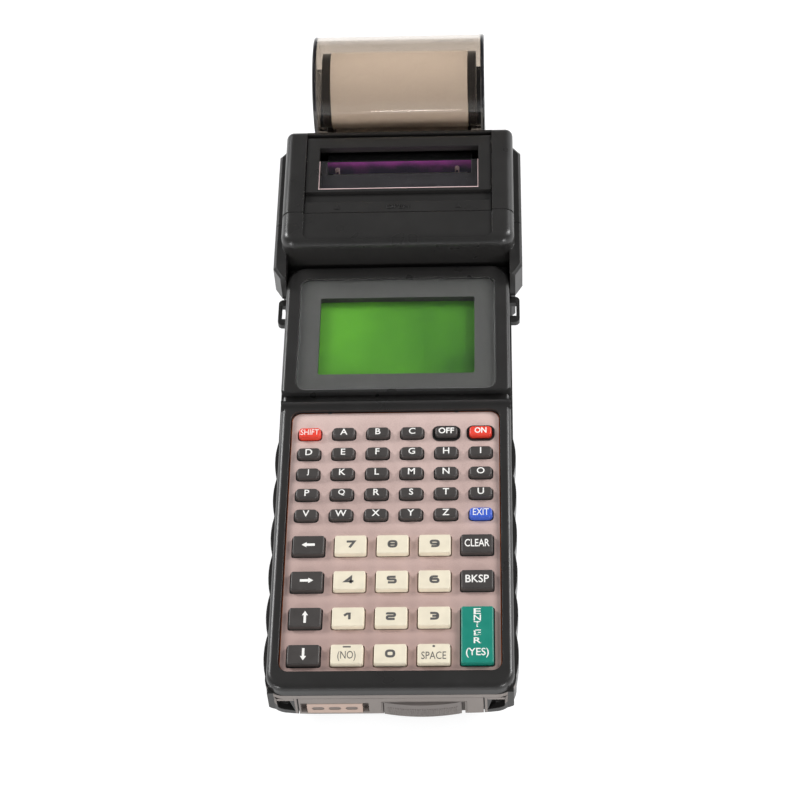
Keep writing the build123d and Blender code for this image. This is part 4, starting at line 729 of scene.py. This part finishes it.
class TERMINAL_OT_keypad(bpy.types.Operator):
    """Dress the key plate, the keys and the board under them"""
    bl_idname = "terminal.keypad"
    bl_label = "Keypad"

    def execute(self, context):
        dress(KEYPAD_NODES)
        keys = [name for name in frame["nodes"] if name.startswith("key_") and name != "key_mat"]
        keys.extend(ROW_LETTERS)
        dress(keys)
        self.paint_slot_shade(keys)
        self.collars()
        self.plate_trim(context.scene.terminal_sizes)
        return {"FINISHED"}

    def paint_slot_shade(self, keys):
        """A dark skirt round the foot of every key, down in its slot: painted shade of the slot."""
        lap, room = 0.06 * MM, 0.28 * MM            # under the cap's side, and out into the slot
        depth, drop = 1.5 * MM, 0.12 * MM           # under the plate: the skirt's foot and its top
        for node in keys:
            places, y, top, cap = key_places(node)
            cream = SLOTS[node] == "key_cream"
            shade_ring = bmesh.new()
            for x in places:
                ring_into(shade_ring, x, y, grown(cap, -lap), grown(cap, room), (0.9 if cream else 1.3) * MM,
                          top - KEY_RISE - depth, top - KEY_RISE - drop)
            make_piece("skirt_" + node, shade_ring, "skirt_brown" if cream else "skirt_black", body_of(node))

    def collars(self):
        """Black collars on the plate round the two power keys."""
        room, width, corner, rise = 0.36 * MM, 0.64 * MM, 1.9 * MM, 0.45 * MM
        for node in ("key_off", "key_on"):
            places, y, top, cap = key_places(node)
            collar = bmesh.new()
            floor = top - KEY_RISE
            ring_into(collar, places[0], y, grown(cap, room), grown(cap, room + width), corner, floor - SUNK,
                      floor + rise)
            make_piece("collar_" + node, collar, "skirt_black", "case")

    def plate_trim(self, sizes):
        """The bare edge of the pressed plate, and the four tabs that hold it."""
        low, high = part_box("keypad_plate")
        x = (low.x + high.x) / 2
        y = (low.y + high.y) / 2
        size = (high.x - low.x, high.y - low.y)
        corner = 3.7 * MM
        edge = bmesh.new()
        ring_into(edge, x, y, grown(size, -sizes.trim_width), size, corner, high.z - SUNK / 2, high.z + SUNK)
        make_piece("plate_edge", edge, "bronze_edge", "case")
        far_x, near_x = (-26.0, 24.0), (-22.0, 22.0)
        width, depth, radius, rise = 1.5 * MM, 0.9 * MM, 0.3 * MM, 0.12 * MM
        tabs = bmesh.new()
        for tab_xs, tab_y in ((far_x, high.y), (near_x, low.y)):
            for tab_x in tab_xs:
                prism(tabs, rounded_flat(tab_x * MM, tab_y, width, depth, radius), high.z, high.z + rise)
        make_piece("plate_tabs", tabs, "charcoal_case", "case")


class TERMINAL_OT_legends(bpy.types.Operator):
    """Print the letters, digits, words and arrows on the keys"""
    bl_idname = "terminal.legends"
    bl_label = "Legends"

    def execute(self, context):
        sizes = context.scene.terminal_sizes
        self.letters(sizes)
        self.digits(sizes)
        self.words(sizes)
        self.large_key_words(sizes)
        self.enter(sizes)
        return {"FINISHED"}

    def letters(self, sizes):
        """One letter on each small key of a row."""
        for node, letters in ROW_LETTERS.items():
            places, y, top = key_places(node)[:3]
            ink = bmesh.new()
            for x, letter in zip(places, letters):
                words_into(ink, letter, (x, y + sizes.letter_shift, top), sizes.letter_height, sizes.ink, weight=0.012)
            make_piece("legend_" + node, ink, "ink_white", body_of(node))

    def digits(self, sizes):
        """Wide squared digits on the cream keys."""
        stroke = sizes.digit_stroke
        width = sizes.digit_width - stroke
        height = sizes.digit_height - stroke
        for digit, strokes in DIGIT_PATHS.items():
            node = f"key_{digit}"
            top = top_of(node)
            ink = bmesh.new()
            for closed, corners in strokes:
                points = [(top.x + (u - 0.5) * width, top.y + (v - 0.5) * height) for u, v in corners]
                bend = 0.0 if digit in (1, 4, 7) else sizes.digit_bend
                path = rounded_path(points, bend, closed) if bend else points
                stroke_into(ink, path, stroke, top.z, sizes.ink, closed)
            make_piece("legend_" + node, ink, "ink_grey", body_of(node))

    def words(self, sizes):
        """Words and arrows on the coloured and charcoal keys."""
        for node, (words, width, height, weight) in WORD_KEYS.items():
            ink = bmesh.new()
            words_into(ink, words, top_of(node) + Vector((0, sizes.letter_shift, 0)), height * MM, sizes.ink,
                       width * MM, weight)
            make_piece("legend_" + node, ink, "ink_white", body_of(node))
        for node, direction in ARROW_KEYS.items():
            ink = bmesh.new()
            arrow_into(ink, top_of(node), sizes, direction)
            make_piece("legend_" + node, ink, "ink_white", body_of(node))

    def large_key_words(self, sizes):
        """The two cream keys that carry a sign over a word."""
        signs_y, words_y = 3.0 * MM, -0.9 * MM
        for node, words, width, height, sign in (("key_no", "(NO)", 6.7, 4.3, (2.9, 0.6)),
                                                 ("key_space", "SPACE", 9.1, 3.2, (0.9, 0.8))):
            ink = bmesh.new()
            top = top_of(node)
            words_into(ink, words, top + Vector((0, words_y, 0)), height * MM, sizes.ink, width * MM)
            bar_into(ink, top + Vector((0, signs_y, 0)), sign[0] * MM, sign[1] * MM, sizes.ink)
            make_piece("legend_" + node, ink, "ink_grey", body_of(node))

    def enter(self, sizes):
        """Upright word and (YES) on the tall green key; its middle letters are worn."""
        top = top_of("key_enter")
        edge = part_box("key_enter")[1].y - FLANGE
        fresh = bmesh.new()
        worn = bmesh.new()
        letter_height, letter_width, yes_height, yes_width = 2.5 * MM, 2.7 * MM, 4.1 * MM, 8.4 * MM
        # letters, their middles under the key's far edge in mm, and whether they are worn
        for letter, drop, faded in (("E", 2.5, False), ("N", 5.3, False), ("T", 8.1, True), ("E", 11.7, True),
                                    ("R", 15.0, False)):
            words_into(worn if faded else fresh, letter, (top.x, edge - drop * MM, top.z), letter_height, sizes.ink,
                       letter_width, 0.012)
        words_into(fresh, "(YES)", (top.x, edge - 20.3 * MM, top.z), yes_height, sizes.ink, yes_width, 0.008)
        make_piece("legend_key_enter", fresh, "ink_white", body_of("key_enter"))
        make_piece("legend_key_enter_worn", worn, "worn_ink", body_of("key_enter"))


class TERMINAL_OT_display(bpy.types.Operator):
    """Dress the lens and the liquid crystal panel, and add the printed border"""
    bl_idname = "terminal.display"
    bl_label = "Display"

    def execute(self, context):
        sizes = context.scene.terminal_sizes
        dress(["display_lens", "lcd_panel"])
        low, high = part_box("display_lens")
        x = (low.x + high.x) / 2
        y = (low.y + high.y) / 2
        inset, outer_corner, inner_corner, wall = 0.2 * MM, 3.8 * MM, 0.8 * MM, 1.0 * MM
        top = low.z - SUNK
        under = top - sizes.mask_thick
        view_y = y + sizes.mask_shift
        view = (sizes.mask_width, sizes.mask_length)
        outer = (*grown((high.x - low.x, high.y - low.y), -inset), outer_corner, x, y)
        inner = (*view, inner_corner, x, view_y)
        border = bmesh.new()
        loft(border, [rounded_outline(*outer, under), rounded_outline(*outer, top), rounded_outline(*inner, top),
                      rounded_outline(*inner, under)], close_path=True)
        make_piece("lens_border", border, "lens_border", "case")
        # black walls of the well, from the border down to the glass, black also as painted shade of the well
        well = bmesh.new()
        ring_into(well, x, view_y, view, grown(view, wall), inner_corner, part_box("lcd_panel")[1].z + SUNK, under)
        make_piece("display_well", well, "skirt_black", "case")
        return {"FINISHED"}


class TERMINAL_OT_battery_end(bpy.types.Operator):
    """Dress the battery end and rib its thumb latch"""
    bl_idname = "terminal.battery_end"
    bl_label = "Battery End"

    def execute(self, context):
        sizes = context.scene.terminal_sizes
        dress(BATTERY_NODES)
        self.latch_ribs(sizes)
        self.end_skin()
        self.cap_seals()
        self.latch_frame()
        return {"FINISHED"}

    def latch_ribs(self, sizes):
        """Upright ribs along the latch's bowed face."""
        low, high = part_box("battery_latch")
        end_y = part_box("battery_pack")[0].y
        half = (high.x - low.x) / 2
        middle = (high.x + low.x) / 2
        sunk_back, plain_end, bare_foot, bare_top, root = 0.2 * MM, 1.0 * MM, 1.0 * MM, 3.0 * MM, 0.1 * MM
        bulge = end_y + sunk_back - low.y
        radius = (half ** 2 + bulge ** 2) / (2 * bulge)
        count = int((high.x - low.x - 2 * plain_end) / sizes.rib_pitch)
        reach = sizes.rib_pitch * 0.3
        ribs = bmesh.new()
        for index in range(count):
            x = middle + (index - (count - 1) / 2) * sizes.rib_pitch
            face_y = low.y + radius - sqrt(radius ** 2 - (x - middle) ** 2)
            out = face_y - sizes.rib_depth
            section = [(x - reach, face_y + root), (x + reach, face_y + root), (x + reach, face_y),
                       (x + reach / 2, out), (x - reach / 2, out), (x - reach, face_y)]
            prism(ribs, section, low.z + bare_foot, high.z - bare_top)
        make_piece("latch_ribs", ribs, "latch_plastic", "latch")

    def end_skin(self):
        """Grey textured skin of the case's end face, above the cap and beside its pockets."""
        cap_low, cap_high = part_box("battery_pack")
        face_y = cap_low.y - SUNK
        corner_x, corner_y = END_HALF - END_CORNER, cap_low.y + END_CORNER
        radius = END_CORNER + SUNK
        turn = [(corner_x + radius * sin(radians(a)), corner_y - radius * cos(radians(a))) for a in range(0, 71, 10)]
        thin, top = 0.06 * MM, cap_high.z + 0.2 * MM
        pocket_inside, pocket_outside, pocket_top = 35.4 * MM, 41.9 * MM, 15.7 * MM
        cap_side = 34.5 * MM
        skin = bmesh.new()
        stroke_into(skin, [(-x, y) for x, y in reversed(turn)] + turn, thin, top + 0.05 * MM,
                    RIM_PARTING - top - 0.15 * MM)
        for side in (-1, 1):
            for path, foot in (
                ([(cap_side, face_y), (pocket_inside, face_y)], 6.5 * MM),
                ([(pocket_outside, face_y)] + turn[3:6], 12.5 * MM),
                ([(pocket_inside + 0.1 * MM, face_y), (pocket_outside - 0.1 * MM, face_y)], pocket_top),
            ):
                stroke_into(skin, [(side * x, y) for x, y in path], thin, foot, top - foot)
        make_piece("end_skin", skin, "grey_end", "case")

    def cap_seals(self):
        """Thin foam strips that close the slits beside the cap."""
        low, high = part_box("battery_pack")
        inside, outside = high.x + SUNK, high.x + 0.26 * MM
        front, back, foot, bare_top = low.y + 0.8 * MM, low.y + 2.6 * MM, 7.0 * MM, 0.2 * MM
        seals = bmesh.new()
        for side in (-1, 1):
            prism(seals, [(side * inside, front), (side * outside, front), (side * outside, back),
                          (side * inside, back)], foot, high.z - bare_top)
        make_piece("cap_seals", seals, "foot_rubber", "battery")

    def latch_frame(self):
        """The thin raised outline round the latch on the cap's face."""
        cap_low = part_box("battery_pack")[0]
        low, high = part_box("battery_latch")
        width, room, travel, open_foot, root, rise = (v * MM for v in (0.3, 0.55, 1.75, 2.6, 0.05, 0.12))
        y0, y1 = cap_low.y - rise, cap_low.y + root
        x0, x1 = low.x - room, high.x + travel
        top = high.z + room
        outline = bmesh.new()
        for left, right, bottom, above in (
            (x0 - width, x1 + width, top, top + width),
            (x0 - width, x0, low.z + open_foot, top - SUNK / 2),
            (x1, x1 + width, low.z + open_foot, top - SUNK / 2),
        ):
            prism(outline, [(left, y0), (right, y0), (right, y1), (left, y1)], bottom, above)
        make_piece("latch_frame", outline, "latch_plastic", "battery")


class TERMINAL_OT_printer(bpy.types.Operator):
    """Dress the printer, and mould the mark on its lid"""
    bl_idname = "terminal.printer"
    bl_label = "Printer"

    def execute(self, context):
        sizes = context.scene.terminal_sizes
        dress(PRINTER_NODES)
        self.open_mark(sizes)
        self.pane_edges()
        self.ribbon_curls()
        return {"FINISHED"}

    def open_mark(self, sizes):
        """The moulded word and two arrowheads on the near strip of the lid."""
        low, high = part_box("ribbon_door")
        strip, word_width, reach = 5.65 * MM, 9.6 * MM, 1.05 * MM
        y = low.y + strip / 2
        mark = bmesh.new()
        words_into(mark, "OPEN", (0.0, y, high.z), sizes.mark_height, sizes.mark_raise, word_width)
        for x in (-sizes.mark_spread, sizes.mark_spread):
            prism(mark, [(x - reach, y - reach), (x + reach, y - reach), (x, y + reach)], high.z,
                  high.z + sizes.mark_raise)
        make_piece("open_mark", mark, "charcoal_case", "door")

    def pane_edges(self):
        """The pane's turned-up near lip and its two cut ends, painted near white as a highlight where light gathers."""
        low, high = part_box("door_window")
        lip, bead = 0.3 * MM, 0.1 * MM
        foot = high.z + 0.005 * MM
        lip_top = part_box("ribbon_door")[1].z - 0.03 * MM
        edges = bmesh.new()
        for x0, x1, y0, y1, top in (
            (low.x, high.x, low.y, low.y + lip, lip_top),
            (low.x, low.x + lip, low.y + lip, high.y, high.z + bead),
            (high.x - lip, high.x, low.y + lip, high.y, high.z + bead),
        ):
            prism(edges, [(x0, y0), (x1, y0), (x1, y1), (x0, y1)], foot, top)
        make_piece("pane_edges", edges, "lit_edge", "door")

    def ribbon_curls(self):
        """Curled ends of the film that carries the ribbon, painted near white as highlights."""
        low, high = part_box("ink_ribbon")
        radius, film, foot, height = 0.9 * MM, 0.14 * MM, 1.6 * MM, 2.6 * MM
        left_end, right_end, stand_off = 4.0 * MM, 6.0 * MM, 1.1 * MM
        y = low.y - stand_off
        curls = bmesh.new()
        for x in (low.x + left_end, high.x - right_end):
            arc = [(x + radius * cos(radians(a)), y + radius * sin(radians(a))) for a in range(-60, 211, 30)]
            stroke_into(curls, arc, film, low.z + foot, height)
        make_piece("ribbon_curls", curls, "lit_edge", "case")


class TERMINAL_OT_paper(bpy.types.Operator):
    """Dress the paper, its cradle and the smoke-coloured cover"""
    bl_idname = "terminal.paper"
    bl_label = "Paper"

    def execute(self, context):
        dress(PAPER_NODES)
        self.cover_rims()
        return {"FINISHED"}

    def cover_rims(self):
        """The thick ends of the cover, where its smoke tint turns black."""
        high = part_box("paper_cover")[1]
        roll_low, roll_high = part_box("paper_roll")
        axle = (roll_low + roll_high) / 2
        radius = high.z - axle.z
        width, slope, depth = 1.3 * MM, 0.5 * MM, 0.4 * MM
        first_lean, whole_lean, steps = -55, 120, 36      # degrees from the top of the cover to its front
        rims = bmesh.new()
        for side in (-1, 1):
            outer = side * high.x
            inner = outer - side * width
            rings = []
            for step in range(steps + 1):
                lean = radians(first_lean + step * whole_lean / steps)
                rings.append([(x, axle.y - r * sin(lean), axle.z + r * cos(lean))
                              for x, r in ((outer, radius - depth), (outer - side * slope, radius + SUNK),
                                           (inner, radius + SUNK), (inner, radius - depth))])
            loft(rims, rings)
        make_piece("cover_rims", rims, "smoke_edge", "cover")


class TERMINAL_OT_stage(bpy.types.Operator):
    """Set up the floor, the soft lamps and the camera"""
    bl_idname = "terminal.stage"
    bl_label = "Stage"

    def execute(self, context):
        self.floor()
        self.world(context.scene)
        self.lamps()
        self.camera(context.scene)
        return {"FINISHED"}

    def floor(self):
        """A wide white floor that keeps the object's shadow."""
        mesh_data = bmesh.new()
        bmesh.ops.create_grid(mesh_data, x_segments=1, y_segments=1, size=FLOOR_HALF)
        mesh = bpy.data.meshes.new("floor")
        mesh_data.to_mesh(mesh)
        mesh_data.free()
        floor = bpy.data.objects.new("floor", mesh)
        bpy.context.scene.collection.objects.link(floor)
        material, tree, shader = start_material("white_floor", 0.9)[:3]
        shader.inputs["Base Color"].default_value = linear("#A6A6A6")
        shader.inputs["Emission Color"].default_value = linear("#FFFFFF")
        strength = add(tree, "ShaderNodeMath", {"operation": "MULTIPLY"}, {0: seen_directly(tree), 1: FLOOR_GLOW})
        tree.links.new(strength.outputs["Value"], shader.inputs["Emission Strength"])
        mesh.materials.append(material)

    def world(self, scene):
        """An even pale room: white to the camera, and in gloss white near the horizon and dim above."""
        world = bpy.data.worlds.new("pale_room")
        world.use_nodes = True
        tree = world.node_tree
        background = tree.nodes["Background"]
        background.inputs["Color"].default_value = linear("#F4F6FA")
        heading = add(tree, "ShaderNodeTexCoord").outputs["Generated"]
        height = add(tree, "ShaderNodeSeparateXYZ", {}, {"Vector": heading})
        sharp = add(tree, "ShaderNodeMapRange", {}, {
            "Value": height.outputs["Z"], "From Min": 0.15, "From Max": 0.4, "To Min": ROOM_BEHIND,
            "To Max": ROOM_GLOSS})
        rays = add(tree, "ShaderNodeLightPath")
        direct = add(tree, "ShaderNodeMix", {"data_type": "FLOAT"}, {
            0: seen_directly(tree), 2: ROOM_LIGHT, 3: sharp.outputs["Result"]})
        seen = add(tree, "ShaderNodeMapRange", {}, {"Value": rays.outputs["Is Camera Ray"],
                                                    "To Min": direct.outputs[0], "To Max": 1.0})
        tree.links.new(seen.outputs["Result"], background.inputs["Strength"])
        scene.world = world

    def lamps(self):
        """Soft lamps behind on both sides, at the near corners, and a small low one in front."""
        for name, place, size, watts in (
            ("lamp_left", (-0.85, 0.55, 0.62), (0.4, 0.4), 8.5),
            ("lamp_right", (0.85, 0.42, 0.62), (0.4, 0.4), 8.5),
            ("lamp_near_left", (-0.75, -0.95, 0.38), (0.3, 0.3), 5.0),
            ("lamp_near_right", (0.75, -0.95, 0.38), (0.3, 0.3), 5.0),
            ("lamp_front", (-0.045, -1.3, 0.05), (0.09, 0.03), 0.12),
        ):
            data = bpy.data.lights.new(name, "AREA")
            data.shape = "RECTANGLE"
            data.size, data.size_y = size
            data.energy = watts
            lamp = bpy.data.objects.new(name, data)
            lamp.location = place
            lamp.rotation_euler = (-Vector(place)).to_track_quat("-Z", "Y").to_euler()
            bpy.context.scene.collection.objects.link(lamp)

    def camera(self, scene):
        """The camera: over the battery end, turned and tilted a little."""
        elevation = radians(53.15)
        yaw = radians(4.33)
        roll = radians(-4.21)
        distance = 934.6 * MM
        target = Vector((1.7, -25.02, 25.0)) * MM
        frame_width = 800.0
        focal_pixels = 2360.9
        rise, run = sin(elevation), cos(elevation)
        tilt = Matrix(((1, 0, 0), (0, rise, run), (0, run, -rise)))
        turn = Matrix(((cos(yaw), sin(yaw), 0), (-sin(yaw), cos(yaw), 0), (0, 0, 1)))
        lean = Matrix(((cos(roll), sin(roll), 0), (-sin(roll), cos(roll), 0), (0, 0, 1)))
        right, up, forward = lean @ tilt @ turn
        data = bpy.data.cameras.new("camera")
        data.sensor_width = 36.0
        data.lens = focal_pixels / frame_width * data.sensor_width
        camera = bpy.data.objects.new("camera", data)
        axes = Matrix((right, up, -forward)).transposed()
        camera.matrix_world = Matrix.Translation(target - forward * distance) @ axes.to_4x4()
        scene.collection.objects.link(camera)
        scene.camera = camera
        scene.view_settings.view_transform = "Standard"


# ---------------------------------------------------------------- panel
class TERMINAL_PT_panel(bpy.types.Panel):
    """The terminal's sizes, colours and steps"""
    bl_idname = "TERMINAL_PT_panel"
    bl_label = "Data Terminal"
    bl_space_type = "VIEW_3D"
    bl_region_type = "UI"
    bl_category = "Terminal"

    def draw(self, context):
        for group in (context.scene.terminal_sizes, context.scene.terminal_colours):
            column = self.layout.column(align=True)
            for name in group.bl_rna.properties.keys():
                if name not in ("rna_type", "name"):
                    column.prop(group, name)
        steps = self.layout.column(align=True)
        for operator in OPERATORS:
            steps.operator(operator.bl_idname)


OPERATORS = (TERMINAL_OT_finishes, TERMINAL_OT_case, TERMINAL_OT_keypad, TERMINAL_OT_legends, TERMINAL_OT_display,
             TERMINAL_OT_battery_end, TERMINAL_OT_printer, TERMINAL_OT_paper, TERMINAL_OT_stage)
CLASSES = (TerminalSizes, TerminalColours) + OPERATORS + (TERMINAL_PT_panel,)


def register():
    for item in CLASSES:
        bpy.utils.register_class(item)
    bpy.types.Scene.terminal_sizes = PointerProperty(type=TerminalSizes)
    bpy.types.Scene.terminal_colours = PointerProperty(type=TerminalColours)


def unregister():
    del bpy.types.Scene.terminal_colours
    del bpy.types.Scene.terminal_sizes
    for item in reversed(CLASSES):
        bpy.utils.unregister_class(item)


def main():
    """Makes every piece, in order."""
    register()
    bpy.ops.terminal.finishes()
    bpy.ops.terminal.case()
    bpy.ops.terminal.keypad()
    bpy.ops.terminal.legends()
    bpy.ops.terminal.display()
    bpy.ops.terminal.battery_end()
    bpy.ops.terminal.printer()
    bpy.ops.terminal.paper()
    bpy.ops.terminal.stage()


if __name__ == "__main__":
    main()
